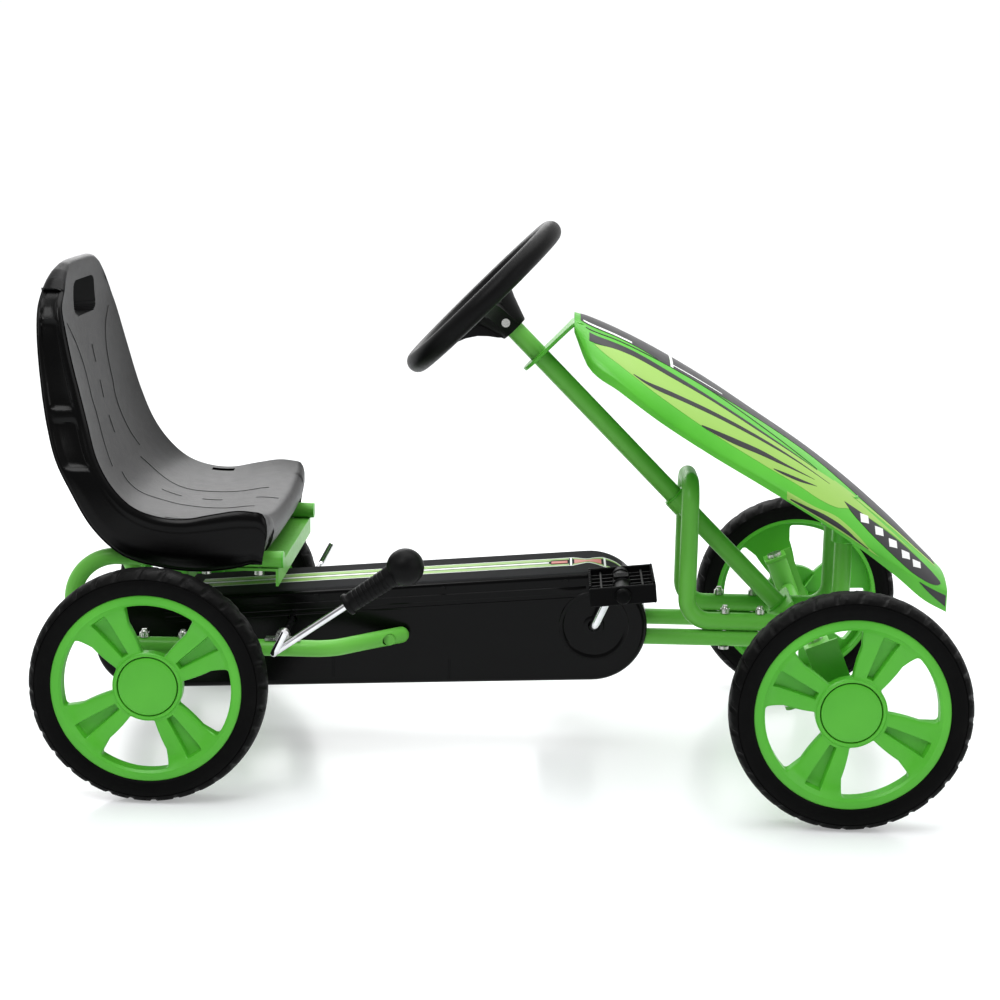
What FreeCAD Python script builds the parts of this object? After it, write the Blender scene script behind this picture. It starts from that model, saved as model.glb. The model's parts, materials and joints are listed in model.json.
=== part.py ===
import FreeCAD, Part
import math
import os

import Sketcher

# Pedal go kart.  Millimetres.  +X is forward, +Y is the driver's left, +Z is up.
# The origin is on the ground, midway between the axles and on the centre line.

os.makedirs("parts", exist_ok=True)
doc = FreeCAD.newDocument("PedalKart")
Vec = FreeCAD.Vector
AXIS_X = Vec(1, 0, 0)
AXIS_Y = Vec(0, 1, 0)
AXIS_Z = Vec(0, 0, 1)

DIMENSIONS = {
    # wheels and axles
    "half_base": 379.1, "axle_height": 130.0, "tyre_radius": 130.0, "tyre_width": 44.8,
    "rim_radius": 104.3, "front_plane": 280.8, "rear_plane": 243.3, "axle_radius": 6.0,
    "hub_radius": 17.0, "cap_radius": 32.8, "wheel_play": 0.06,
    # frame tubes
    "rail_radius": 9.5, "rail_offset": 50.0, "rail_height": 150.0, "rail_rear": -430.0,
    "rail_front": 352.3, "tube_wall": 1.5, "beam_front": 362.1,
    "hoop_radius": 10.3, "hoop_rear": 216.0, "hoop_front": 394.0, "hoop_bar_height": 330.5,
    "hoop_top": 285.0, "bolt_radius": 3.0, "hoop_bolt_rear": 260.6, "hoop_bolt_front": 301.4,
    "side_radius": 9.5, "side_offset": 150.0, "side_top": 253.0, "side_low": 151.0,
    "side_front": -245.0, "side_turn": -430.0, "side_bend": -191.0, "side_end": -116.0,
    "side_end_offset": 76.0, "side_bolt_front": -128.0, "axle_bolt_pitch": 22.0,
    "seat_bolt_head": 269.9,
    # steering
    "ring_centre": -28.4, "ring_height": 536.8, "ring_radius": 106.5, "ring_tube": 12.5,
    "column_radius": 10.9, "column_length": 532.0, "upper_bearing": 332.0,
    "lower_bearing": 505.0, "pitman_length": 40.0, "pitman_at": 528.0, "stud_radius": 4.0,
    "kingpin_front": 356.8, "kingpin_height": 163.0, "kingpin_offset": 222.0,
    "kingpin_tilt": 22.0, "kingpin_radius": 6.0, "sleeve_radius": 13.0, "sleeve_length": 54.0,
    "steer_arm": 47.3, "yoke_plate": 4.0,
    # drive
    "crank_front": 108.0, "crank_height": 165.0, "crank_arm": 73.5, "crank_radius": 5.5,
    "crank_lean": 22.4, "front_pitch_radius": 48.7, "rear_pitch_radius": 32.5,
    "front_teeth": 24, "rear_teeth": 16, "roller_radius": 3.8, "chain_gap": 0.4,
    "pedal_length": 73.0, "pedal_width": 106.0, "pedal_thick": 21.0, "pedal_offset": 152.0,
    "pedal_tilt": 6.0,
    # chain guard
    "guard_front": 105.0, "guard_front_height": 163.0, "guard_front_radius": 65.0,
    "guard_rear": -423.0, "guard_rear_height": 130.0, "guard_rear_radius": 54.0,
    "guard_half": 66.0, "guard_wall": 2.5, "guard_cover_depth": 15.0,
    # brake
    "brake_front": -244.0, "brake_height": 165.0, "brake_radius": 4.0, "grip_radius": 12.0,
    "ball_radius": 20.5,
    # seat and front panel
    "seat_half": 180.0, "seat_wall": 4.0, "hand_hole_top": 548.0, "hand_hole_low": 512.0,
    "panel_wall": 3.0, "panel_thick": 4.0, "tab_along": 93.3, "tab_reach": 69.0,
    "tab_half": 24.0,
}

sheet = doc.addObject("Spreadsheet::Sheet", "Dims")
for row, (alias, value) in enumerate(DIMENSIONS.items(), start=1):
    sheet.set("A%d" % row, alias)
    sheet.set("B%d" % row, str(value))
    sheet.setAlias("B%d" % row, alias)
doc.recompute()

NODES = []


def size(alias):
    """The value of one driving dimension."""
    return float(sheet.get(alias))


def node(item, name):
    """Mark an object as one sub-part and give it its name."""
    item.Label = name
    NODES.append(item)
    return item


def place(item, at=(0, 0, 0), axis=AXIS_Z, angle=0):
    """Turn an object about an axis and move it; text coordinates are bound to the sheet."""
    numbers = [0 if isinstance(value, str) else value for value in at]
    item.Placement = FreeCAD.Placement(Vec(*numbers), FreeCAD.Rotation(axis, angle))
    for letter, value in zip("xyz", at):
        if isinstance(value, str):
            item.setExpression(".Placement.Base." + letter, value)
    return item


def primitive(kind, name, at=(0, 0, 0), axis=AXIS_Z, angle=0, **bindings):
    """A Part primitive with its sizes bound to the sheet or set as numbers."""
    item = doc.addObject("Part::" + kind, name)
    for prop, value in bindings.items():
        if isinstance(value, str):
            item.setExpression(prop, value)
        else:
            setattr(item, prop, value)
    return place(item, at, axis, angle)


def rod(name, start, end, radius):
    """A round bar between two points."""
    start, end = Vec(*start), Vec(*end)
    run = end - start
    item = primitive("Cylinder", name, Radius=radius, Height=run.Length)
    item.Placement = FreeCAD.Placement(start, FreeCAD.Rotation(AXIS_Z, run))
    return item


def block(name, low, high):
    """A rectangular block between two corners."""
    item = primitive("Box", name, at=low)
    item.Length, item.Width, item.Height = [b - a for a, b in zip(low, high)]
    return item


def fused(name, pieces):
    item = doc.addObject("Part::MultiFuse", name)
    item.Shapes = pieces
    return item


def grouped(name, pieces):
    """Several separate solids kept as one sub-part."""
    item = doc.addObject("Part::Compound", name)
    item.Links = pieces
    return item


def cut(name, base, tools):
    item = doc.addObject("Part::Cut", name)
    item.Base = base
    item.Tool = tools[0] if len(tools) == 1 else grouped(name + "Tools", tools)
    return item


def mirrored(source, name):
    """The left-hand twin of a right-hand sub-part."""
    item = doc.addObject("Part::Mirroring", name)
    item.Source = source
    item.Normal = AXIS_Y
    return item


def made(name, shape):
    """A shape that Part's own functions build, for forms that no feature covers."""
    item = doc.addObject("Part::Feature", name)
    item.Shape = shape
    return item


def body_plane(body, role):
    return [item for item in body.Origin.OriginFeatures if item.Role == role][0]


def sketch_on(body, name, role, lift=None):
    """A sketch on one of the body's origin planes, lifted off it by an expression."""
    sketch = body.newObject("Sketcher::SketchObject", name)
    sketch.AttachmentSupport = [(body_plane(body, role), "")]
    sketch.MapMode = "FlatFace"
    if lift is not None:
        sketch.setExpression(".AttachmentOffset.Base.z", lift)
    return sketch


def bound_circle(sketch, centre, radius):
    """A circle whose centre and radius are expressions."""
    index = sketch.addGeometry(Part.Circle(Vec(1, 1, 0), AXIS_Z, 5), False)
    for kind, value in (("DistanceX", centre[0]), ("DistanceY", centre[1])):
        if value == "0":
            target = -2 if kind == "DistanceX" else -1
            sketch.addConstraint(Sketcher.Constraint("PointOnObject", index, 3, target))
        else:
            number = sketch.addConstraint(Sketcher.Constraint(kind, -1, 1, index, 3, 1.0))
            sketch.setExpression("Constraints[%d]" % number, value)
    number = sketch.addConstraint(Sketcher.Constraint("Radius", index, 5.0))
    sketch.setExpression("Constraints[%d]" % number, radius)


def bound_polygon(sketch, corners):
    """A closed outline; each corner is a pair of numbers or expressions."""
    count = len(corners)
    points = [Vec(*[numeric(value) for value in corner], 0) for corner in corners]
    lines = [Part.LineSegment(points[i], points[(i + 1) % count]) for i in range(count)]
    first = sketch.addGeometry(lines, False)[0]
    for i in range(count):
        follower = first + (i + 1) % count
        sketch.addConstraint(Sketcher.Constraint("Coincident", first + i, 2, follower, 1))
    for i, corner in enumerate(corners):
        for kind, value in zip(("DistanceX", "DistanceY"), corner):
            start = numeric(value)
            rule = Sketcher.Constraint(kind, -1, 1, first + i, 1, start)
            number = sketch.addConstraint(rule)
            if isinstance(value, str):
                sketch.setExpression("Constraints[%d]" % number, value)


def numeric(value):
    """The present value of an expression in the sheet's terms."""
    if not isinstance(value, str):
        return value
    return float(sheet.evalExpression(value.replace("Dims.", "")))


def pad(body, sketch, length, midplane=False, reverse=False):
    feature = body.newObject("PartDesign::Pad", sketch.Name + "Pad")
    feature.Profile = sketch
    feature.setExpression("Length", length)
    feature.Midplane = midplane
    feature.Reversed = reverse
    return feature


def pocket(body, sketch, length=None, midplane=False, reverse=False):
    """A pocket of a given depth, or through everything."""
    feature = body.newObject("PartDesign::Pocket", sketch.Name + "Pocket")
    feature.Profile = sketch
    if length is None:
        feature.Type = "ThroughAll"
    else:
        feature.setExpression("Length", length)
    feature.Midplane = midplane
    feature.Reversed = reverse
    return feature


def revolution(body, sketch):
    """Turn a half section about the sketch's own vertical axis."""
    feature = body.newObject("PartDesign::Revolution", sketch.Name + "Turn")
    feature.Profile = sketch
    feature.ReferenceAxis = (sketch, ["V_Axis"])
    feature.Angle = 360
    return feature


def around(body, feature, count):
    """Repeat a feature round the body's own Z axis."""
    pattern = body.newObject("PartDesign::PolarPattern", feature.Name + "Ring")
    pattern.Originals = [feature]
    axis = [item for item in body.Origin.OriginFeatures if item.Role == "Z_Axis"][0]
    pattern.Axis = (axis, [""])
    pattern.Angle = 360
    pattern.Occurrences = count
    body.Tip = pattern
    return pattern


def bent_wire(points, radii):
    """Straight runs joined by tangent arcs; each inner corner has its own radius."""
    points = [Vec(*point) for point in points]
    edges = []
    start = points[0]
    for before, corner, after, radius in zip(points, points[1:], points[2:], radii):
        back = (before - corner).normalize()
        ahead = (after - corner).normalize()
        half_turn = (math.pi - back.getAngle(ahead)) / 2
        reach = radius * math.tan(half_turn)
        bisector = (back + ahead).normalize()
        centre = corner + bisector * (radius / math.cos(half_turn))
        enter = corner + back * reach
        leave = corner + ahead * reach
        if (enter - start).Length > 0.001:
            edges.append(Part.LineSegment(start, enter).toShape())
        edges.append(Part.Arc(enter, centre - bisector * radius, leave).toShape())
        start = leave
    edges.append(Part.LineSegment(start, points[-1]).toShape())
    return Part.Wire(edges)


def bent_bar(points, bends, radius, bore=0):
    """A round bar, or a tube with a bore, swept along straight runs and arcs."""
    if not isinstance(bends, list):
        bends = [bends] * (len(points) - 2)
    path = bent_wire(points, bends)
    start = Vec(*points[0])
    heading = Vec(*points[1]) - start

    def swept(section_radius):
        ring = Part.Wire([Part.Circle(start, heading, section_radius).toShape()])
        return path.makePipeShell([ring], True, True)

    solid = swept(radius)
    if bore:
        solid = solid.cut(swept(bore))
    return solid


def upright_holes(name, places, low, high, radius):
    """Round vertical cutters, one at each (x, y)."""
    return [rod("%sHole%d" % (name, i), (x, y, low), (x, y, high), radius)
            for i, (x, y) in enumerate(places)]


def upright_bolt(name, x, y, low, high, nut_on_top=True):
    """A vertical bolt with a low round head at one end and a dome nut at the other."""
    shank = rod(name + "Shank", (x, y, low), (x, y, high), "Dims.bolt_radius")
    nut_low = high - 9 if nut_on_top else low
    head_low = low if nut_on_top else high - 3.5
    head = rod(name + "Head", (x, y, head_low), (x, y, head_low + 3.5), 6.0)
    nut = rod(name + "Nut", (x, y, nut_low), (x, y, nut_low + 5), 5.6)
    dome = primitive("Sphere", name + "Dome", at=(x, y, nut_low + 4.5), Radius=4.4)
    if not nut_on_top:
        return fused(name, [shank, head, nut])
    return fused(name, [shank, head, nut, dome])


# ---------------------------------------------------------------- frame tubes

def rail(name, side):
    """One of the two long tubes; it is drilled for the hoop bolts and the side tube bolt."""
    y = side * size("rail_offset")
    rear = ("Dims.rail_rear", y, "Dims.rail_height")
    length = "Dims.rail_front - Dims.rail_rear"
    outer = primitive("Cylinder", name + "Outer", rear, AXIS_Y, 90,
                      Radius="Dims.rail_radius", Height=length)
    inner = primitive("Cylinder", name + "Bore", rear, AXIS_Y, 90,
                      Radius="Dims.rail_radius - Dims.tube_wall", Height=length)
    bolts = [(size("hoop_bolt_rear"), y), (size("hoop_bolt_front"), y)]
    holes = upright_holes(name, bolts, 130, 170, 3.1)
    height = size("rail_height")
    x = size("side_bolt_front")
    cross = rod(name + "Cross", (x, side * 30, height), (x, side * 70, height), 3.1)
    return node(cut(name, outer, [inner, cross] + holes), name)


def kingpin_point(side, along=0.0):
    """A point on a kingpin's axis, a distance above its middle."""
    lean = math.radians(size("kingpin_tilt"))
    return (size("kingpin_front") - along * math.sin(lean),
            side * size("kingpin_offset"),
            size("kingpin_height") + along * math.cos(lean))


def front_beam():
    """The cross tube with a kingpin sleeve welded on each end."""
    reach = size("kingpin_offset") - 10
    x, z = size("beam_front"), size("rail_height")
    tube = rod("BeamTube", (x, -reach, z), (x, reach, z), "Dims.rail_radius")
    sleeves = []
    bores = []
    for side in (-1, 1):
        half = size("sleeve_length") / 2
        ends = kingpin_point(side, -half), kingpin_point(side, half)
        sleeves.append(rod("Sleeve%d" % (side + 1), *ends, "Dims.sleeve_radius"))
        ends = kingpin_point(side, -half - 5), kingpin_point(side, half + 5)
        bores.append(rod("SleeveBore%d" % (side + 1), *ends, "Dims.kingpin_radius + 0.06"))
    return node(cut("FrontBeam", fused("BeamWeld", [tube] + sleeves), bores), "front_beam")


def crank_hangers():
    """Two plates on the inner sides of the rails that hold the crank's bushes."""
    x, z = size("crank_front"), size("crank_height")
    plates = []
    for side in (-1, 1):
        low = min(side * 36.4, side * 40.4)
        plate = block("Hanger%d" % (side + 1), (x - 22, low, 141), (x + 22, low + 4, 187))
        bore = rod("HangerBore%d" % (side + 1), (x, low - 1, z), (x, low + 5, z), 12.0)
        plates.append(cut("HangerPlate%d" % (side + 1), plate, [bore]))
    return node(grouped("CrankHangers", plates), "crank_hangers")


def crank_bushes():
    """Two flanged plastic bushes that the crank turns in."""
    x, z = size("crank_front"), size("crank_height")
    bushes = []
    for side in (-1, 1):
        body = rod("BushBody%d" % (side + 1), (x, side * 36.4, z), (x, side * 40.4, z), 11.95)
        flange = rod("BushFlange%d" % (side + 1), (x, side * 33.4, z), (x, side * 36.3, z), 15.0)
        neck = rod("BushNeck%d" % (side + 1), (x, side * 36, z), (x, side * 37, z), 11.95)
        bore = rod("BushBore%d" % (side + 1), (x, side * 32, z), (x, side * 42, z), 5.56)
        solid = fused("BushSolid%d" % (side + 1), [body, flange, neck])
        bushes.append(cut("CrankBush%d" % (side + 1), solid, [bore]))
    return node(grouped("CrankBushes", bushes), "crank_bushes")


def column_point(along, across=0.0):
    """A point of the steering axis, a distance down from the wheel's centre."""
    root = math.sqrt(0.5)
    return (size("ring_centre") + (along + across) * root, 0.0,
            size("ring_height") + (across - along) * root)


def steering_hoop():
    """One bent tube: front leg, floor run, rear leg and cross bar, then the same back."""
    y = size("rail_offset")
    rear, front = size("hoop_rear"), size("hoop_front")
    low = size("rail_height") + size("rail_radius") + size("hoop_radius")
    bar, top = size("hoop_bar_height"), size("hoop_top")
    right = [(front, -y, top), (front, -y, low), (rear, -y, low), (rear, -y, bar)]
    left = [(x, -side, z) for x, side, z in reversed(right)]
    radius = size("hoop_radius")
    tube = bent_bar(right + left, 27, radius, radius - size("tube_wall"))
    ends = column_point(size("upper_bearing") - 8), column_point(size("upper_bearing") + 8)
    sleeve = rod("ColumnSleeve", *ends, 14.6)
    bar_near = column_point(size("upper_bearing"), 13)
    strut = rod("SleeveStrut", bar_near, (rear, 0, bar - radius + 1), 4)
    bore_ends = column_point(size("upper_bearing") - 12), column_point(size("upper_bearing") + 12)
    bore = rod("SleeveSeat", *bore_ends, 13.0)
    bolts = [(x, side * y) for x in (size("hoop_bolt_rear"), size("hoop_bolt_front"))
             for side in (-1, 1)]
    holes = upright_holes("Hoop", bolts, low - 15, low + 15, 3.1)
    frame = fused("HoopWeld", [made("HoopTube", tube), sleeve, strut])
    return node(cut("SteeringHoop", frame, [bore] + holes), "steering_hoop")


def hoop_fasteners():
    """Four bolts through the hoop and the rails, with dome nuts on top."""
    low = size("rail_height") - size("rail_radius") - 3.5
    high = size("rail_height") + size("rail_radius") + 2 * size("hoop_radius") + 9
    bolts = []
    for i, x in enumerate((size("hoop_bolt_rear"), size("hoop_bolt_front"))):
        for side in (-1, 1):
            name = "HoopBolt%d%d" % (i, side + 1)
            bolts.append(upright_bolt(name, x, side * size("rail_offset"), low, high))
    return node(grouped("HoopFasteners", bolts), "hoop_fasteners")


def column_plate():
    """A plate across the hoop, square to the column, with a bush seat."""
    thick, half_width, half_height = 4, 39.9, 17
    plate = primitive("Box", "ColumnPlateBlank", Length=2 * half_height, Width=2 * half_width,
                      Height=thick)
    turn = FreeCAD.Rotation(AXIS_Y, -45)
    corner = Vec(*column_point(size("lower_bearing") + thick / 2))
    plate.Placement = FreeCAD.Placement(
        corner + turn.multVec(Vec(-half_height, -half_width, 0)), turn)
    ends = column_point(size("lower_bearing") - 5), column_point(size("lower_bearing") + 5)
    bore = rod("ColumnPlateBore", *ends, 13.0)
    return node(cut("ColumnPlate", plate, [bore]), "column_plate")


def column_bushes():
    """Plastic bushes round the column at its upper and lower bearings."""
    bushes = []
    for name, half, place_at in (("Upper", 8, "upper_bearing"), ("Lower", 2, "lower_bearing")):
        centre = size(place_at)
        sleeve = rod(name + "BushSleeve", column_point(centre - half),
                     column_point(centre + half), 12.95)
        flange = rod(name + "BushFlange", column_point(centre - half - 2.5),
                     column_point(centre - half - 0.1), 13.6)
        neck = rod(name + "BushNeck", column_point(centre - half - 1),
                   column_point(centre - half + 1), 12.95)
        bore = rod(name + "BushBore", column_point(centre - half - 6),
                   column_point(centre + half + 6), "Dims.column_radius + 0.07")
        solid = fused(name + "BushSolid", [sleeve, flange, neck])
        bushes.append(cut(name + "Bush", solid, [bore]))
    return node(grouped("ColumnBushes", bushes), "column_bushes")


def side_tube():
    """Right-hand tube: seat rail on top, half circle round the rear, axle run below."""
    y = -size("side_offset")
    top, low = size("side_top"), size("side_low")
    radius = size("side_radius")
    bend = (top - low) / 2
    turn = size("side_turn") - bend
    points = [(size("side_front"), y, top), (turn, y, top), (turn, y, low),
              (size("side_bend"), y, low), (size("side_end"), -size("side_end_offset"), low)]
    bends = [bend - 0.01, bend - 0.01, 45]
    tube = made("SideTube", bent_bar(points, bends, radius, radius - size("tube_wall")))
    axle = -size("half_base")
    pitch = size("axle_bolt_pitch")
    holes = upright_holes("SideLow", [(axle - pitch, y), (axle + pitch, y)],
                          low - 15, low + 15, 3.1)
    holes += upright_holes("SideTop", [(-330, y), (-270, y)], top - 15, top + 15, 3.1)
    x, z = size("side_bolt_front"), size("rail_height")
    cross = rod("SideCross", (x, -110, z), (x, -60, z), 3.1)
    spot_face = rod("SideSpotFace", (x, -120, z), (x, -94.4, z), 7)
    trim = block("SideTrim", (x - 72, -size("guard_half") - 0.1, low - 20),
                 (x + 48, -40, low + 20))
    right = node(cut("SideTubeRight", tube, holes + [cross, spot_face, trim]), "side_tube_right")
    node(mirrored(right, "SideTubeLeft"), "side_tube_left")


def tube_plugs():
    """Plastic plugs in the open front ends of the seat tubes."""
    plugs = []
    for side in (-1, 1):
        y, z, x = side * size("side_offset"), size("side_top"), size("side_front")
        cap = rod("PlugCap%d" % (side + 1), (x + 0.05, y, z), (x + 2.5, y, z), 9.3)
        stem = rod("PlugStem%d" % (side + 1), (x - 12, y, z), (x + 1, y, z), 7.9)
        plugs.append(fused("TubePlug%d" % (side + 1), [cap, stem]))
    return node(grouped("TubePlugs", plugs), "tube_plugs")


def side_tube_bolts():
    """Bolts that hold the inner ends of the side tubes to the rails through the guard."""
    bolts = []
    x, z = size("side_bolt_front"), size("rail_height")
    for side in (-1, 1):
        name = "SideBolt%d" % (side + 1)
        shank = rod(name + "Shank", (x, side * 38, z), (x, side * 99, z), "Dims.bolt_radius")
        head = rod(name + "Head", (x, side * 94.5, z), (x, side * 99, z), 6.5)
        nut = rod(name + "Nut", (x, side * 36, z), (x, side * 40.3, z), 5.6)
        bolts.append(fused(name, [shank, head, nut]))
    return node(grouped("SideTubeBolts", bolts), "side_tube_bolts")


def axle_bearings():
    """A bearing block under each side tube, with its bush bored for the axle."""
    x, z = -size("half_base"), size("axle_height")
    low = size("side_low")
    blocks = []
    for side in (-1, 1):
        y = side * size("side_offset")
        name = "Bearing%d" % (side + 1)
        flange = block(name + "Flange", (x - 33, y - 9, 131), (x + 33, y + 9, 136))
        boss = rod(name + "Boss", (x, y - 12, z), (x, y + 12, z), 13.5)
        saddle = block(name + "Saddle", (x - 12, y - 9, 131), (x + 12, y + 9, 147))
        tube_seat = rod(name + "TubeSeat", (x - 40, y, low), (x + 40, y, low), 9.55)
        bore = rod(name + "Bore", (x, y - 13, z), (x, y + 13, z), "Dims.axle_radius + 0.06")
        pitch = size("axle_bolt_pitch")
        holes = upright_holes(name, [(x - pitch, y), (x + pitch, y)], 120, 150, 3.1)
        solid = fused(name + "Solid", [flange, boss, saddle])
        blocks.append(cut(name, solid, [tube_seat, bore] + holes))
    return node(grouped("AxleBearings", blocks), "axle_bearings")


def axle_bearing_bolts():
    """Four bolts that hang the bearing blocks from the side tubes."""
    x, pitch = -size("half_base"), size("axle_bolt_pitch")
    high = size("side_low") + size("side_radius") + 9
    bolts = []
    for i, shift in enumerate((-pitch, pitch)):
        for side in (-1, 1):
            name = "BearingBolt%d%d" % (i, side + 1)
            y = side * size("side_offset")
            bolts.append(upright_bolt(name, x + shift, y, 127.4, high))
    return node(grouped("AxleBearingBolts", bolts), "axle_bearing_bolts")


# ---------------------------------------------------------------- seat and its mounting

SEAT_BOLT_PLACES = [(x, y) for x in (-330, -270) for y in (-150, 150)]


def seat_bracket():
    """A folded sheet under the two seat tubes."""
    top = size("side_top") - size("side_radius") - 0.05
    plate = block("BracketPlate", (-352, -156, top - 3), (-248, 156, top))
    flanges = [block("BracketRear", (-352, -156, top - 20), (-349, 156, top - 1)),
               block("BracketFront", (-251, -156, top - 20), (-248, 156, top - 1))]
    holes = upright_holes("Bracket", SEAT_BOLT_PLACES, top - 10, top + 5, 3.1)
    solid = fused("BracketSolid", [plate] + flanges)
    return node(cut("SeatBracket", solid, holes), "seat_bracket")


def seat_fasteners():
    """Four bolts from under the bracket, through the tubes, into the seat."""
    low = size("side_top") - size("side_radius") - 8.1
    high = size("seat_bolt_head") + 3.5
    bolts = [upright_bolt("SeatBolt%d" % i, x, y, low, high, False)
             for i, (x, y) in enumerate(SEAT_BOLT_PLACES)]
    return node(grouped("SeatFasteners", bolts), "seat_fasteners")


# side views of the seat, back first, from the top edge to the front edge
SEAT_BACK = [(-499, 584), (-510, 573), (-516, 548), (-516, 505), (-513, 460), (-506, 412),
             (-492, 362), (-466, 308), (-428, 264), (-390, 248), (-335, 242), (-290, 246),
             (-262, 262)]
SEAT_LIP = [(-490, 583), (-490, 560), (-487, 520), (-476, 470), (-462, 415), (-445, 360),
            (-420, 323), (-394, 306), (-360, 301), (-325, 306), (-285, 312), (-253, 300)]
SEAT_DIP = [(-492, 582), (-492, 560), (-491, 520), (-484, 470), (-473, 415), (-456, 360),
            (-432, 322), (-402, 301), (-362, 292), (-322, 292), (-285, 296), (-250, 290)]
# front view: height above ground and half width
SEAT_OUTLINE = [(225, 168), (262, 178), (320, 180), (365, 168), (420, 152), (480, 146),
                (522, 137), (545, 118), (564, 84), (574, 0)]


def inset(points, depth):
    """Move an open curve's points sideways, to the left of its direction of travel."""
    moved = []
    for i, point in enumerate(points):
        before = points[max(i - 1, 0)]
        after = points[min(i + 1, len(points) - 1)]
        dx, dz = after[0] - before[0], after[1] - before[1]
        length = math.hypot(dx, dz)
        moved.append((point[0] - dz / length * depth, point[1] + dx / length * depth))
    return moved


def seat_section(y, front, rear, hollow):
    """A closed side section of the seat at one distance from the centre line."""
    wall = size("seat_wall") if hollow else 0
    back = inset(rear, wall)
    face = inset(front, -wall)
    if hollow:
        back, face = back[1:-1], face[1:-1]
    curves = []
    for points in (back, face):
        spline = Part.BSplineCurve()
        spline.interpolate([Vec(x, y, z) for x, z in points])
        curves.append(spline.toShape())
    ends = [Vec(back[-1][0], y, back[-1][1]), Vec(face[-1][0], y, face[-1][1])]
    tips = [Vec(face[0][0], y, face[0][1]), Vec(back[0][0], y, back[0][1])]
    close_front = Part.LineSegment(*ends).toShape()
    close_top = Part.LineSegment(*tips).toShape()
    return Part.Wire(Part.__sortEdges__([curves[0], close_front, curves[1], close_top]))


def seat_block(hollow):
    """The seat's body across its width; the inner one is smaller by the wall."""
    wall = size("seat_wall") if hollow else 0
    half = size("seat_half") - wall
    sections = []
    for share in (-1, -0.86, -0.62, 0, 0.62, 0.86, 1):
        bowl = max(0.0, 1 - abs(share) ** 3 * 1.35)
        front = [(a[0] + (b[0] - a[0]) * bowl, a[1] + (b[1] - a[1]) * bowl)
                 for a, b in zip(SEAT_LIP, SEAT_DIP)]
        sections.append(seat_section(share * half, front, SEAT_BACK, hollow))
    body = Part.makeLoft(sections, True, False)
    right = [Vec(-600, -(y - wall), z - (wall if i == len(SEAT_OUTLINE) - 1 else 0))
             for i, (z, y) in enumerate(SEAT_OUTLINE) if y > wall or i == len(SEAT_OUTLINE) - 1]
    right[-1] = Vec(-600, 0, SEAT_OUTLINE[-1][0] - wall)
    left = [Vec(p.x, -p.y, p.z) for p in reversed(right[:-1])]
    edge = Part.BSplineCurve()
    edge.interpolate(right + left)
    base = Part.LineSegment(left[-1], right[0]).toShape()
    outline = Part.Face(Part.Wire([edge.toShape(), base]))
    return body.common(outline.extrude(Vec(400, 0, 0)))


def seat_cutters(wall):
    """The seat's grooves, hand hole and belt slots, grown by the wall for the inner skin."""
    groove_top = size("side_top") + size("side_radius") + 0.1 + wall
    cutters = []
    for side in (-1, 1):
        y = side * size("side_offset")
        low = Vec(-440 - wall, y - 11 - wall, groove_top - 60)
        cutters.append(Part.makeBox(260, 22 + 2 * wall, 60, low))
        slot = Vec(-372 - wall, side * 164.5 - 4.5 - wall, 225)
        cutters.append(Part.makeBox(28 + 2 * wall, 9 + 2 * wall, 120, slot))
    bracket_top = size("side_top") - size("side_radius") + 0.3 + wall
    cutters.append(Part.makeBox(116 + 2 * wall, 322 + 2 * wall, 60,
                                Vec(-358 - wall, -161 - wall, bracket_top - 60)))
    wide, narrow = 52 + wall, 40 + wall
    high, low = size("hand_hole_top") + wall, size("hand_hole_low") - wall
    hand = [Vec(-560, -wide, high), Vec(-560, wide, high), Vec(-560, narrow, low),
            Vec(-560, -narrow, low)]
    hand_face = Part.Face(Part.makePolygon(hand + hand[:1]))
    cutters.append(hand_face.extrude(Vec(150, 0, 0)))
    return cutters


def seat():
    """Hollow moulded bucket seat with a hand hole, belt slots and grooves for the tubes."""
    skins = []
    for hollow in (False, True):
        skin = seat_block(hollow)
        for cutter in seat_cutters(size("seat_wall") if hollow else 0):
            skin = skin.cut(cutter)
        skins.append(skin)
    solid = skins[0].cut(skins[1])
    for x, y in SEAT_BOLT_PLACES:
        solid = solid.cut(Part.makeCylinder(3.1, 12, Vec(x, y, 258)))
        head_seat = Part.makeCylinder(6.3, 5, Vec(x, y, size("seat_bolt_head") - 0.5))
        solid = solid.cut(head_seat)
    biggest = max(solid.Solids, key=lambda piece: piece.Volume)
    return node(made("Seat", biggest), "seat")


# ---------------------------------------------------------------- steering

COLUMN_TURN = -45


def column_frame(along=0.0):
    """Placement at a distance down the steering axis, with Z up the column."""
    return FreeCAD.Placement(Vec(*column_point(along)), FreeCAD.Rotation(AXIS_Y, COLUMN_TURN))


def steering_wheel():
    """Ring, three spokes and a hub that tapers down to the column."""
    ring = primitive("Torus", "WheelRing", Radius1="Dims.ring_radius", Radius2="Dims.ring_tube")
    reach = size("ring_radius") - 4
    spokes = [block("SpokeRight", (-16, -reach, -9), (16, 0, -1)),
              block("SpokeLeft", (-16, 0, -9), (16, reach, -1)),
              block("SpokeLow", (-reach, -16, -9), (0, 16, -1))]
    hub = primitive("Cone", "WheelHub", at=(0, 0, -51.6), Radius1=17, Radius2=40, Height=43)
    face = primitive("Cylinder", "WheelFace", at=(0, 0, -8.7), Radius=40, Height=10)
    solid = fused("WheelSolid", [ring, hub, face] + spokes)
    bore = primitive("Cylinder", "WheelBore", at=(0, 0, -60), Radius="Dims.column_radius + 0.02",
                     Height=40)
    pin = rod("WheelPinHole", (0, -40, -38), (0, 40, -38), 3.05)
    seats = [rod("WheelPinSeat%d" % (side + 1), (0, side * 25.55, -38), (0, side * 40, -38), 6.2)
             for side in (-1, 1)]
    item = cut("SteeringWheel", solid, [bore, pin] + seats)
    item.Placement = column_frame()
    return node(item, "steering_wheel")


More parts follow.
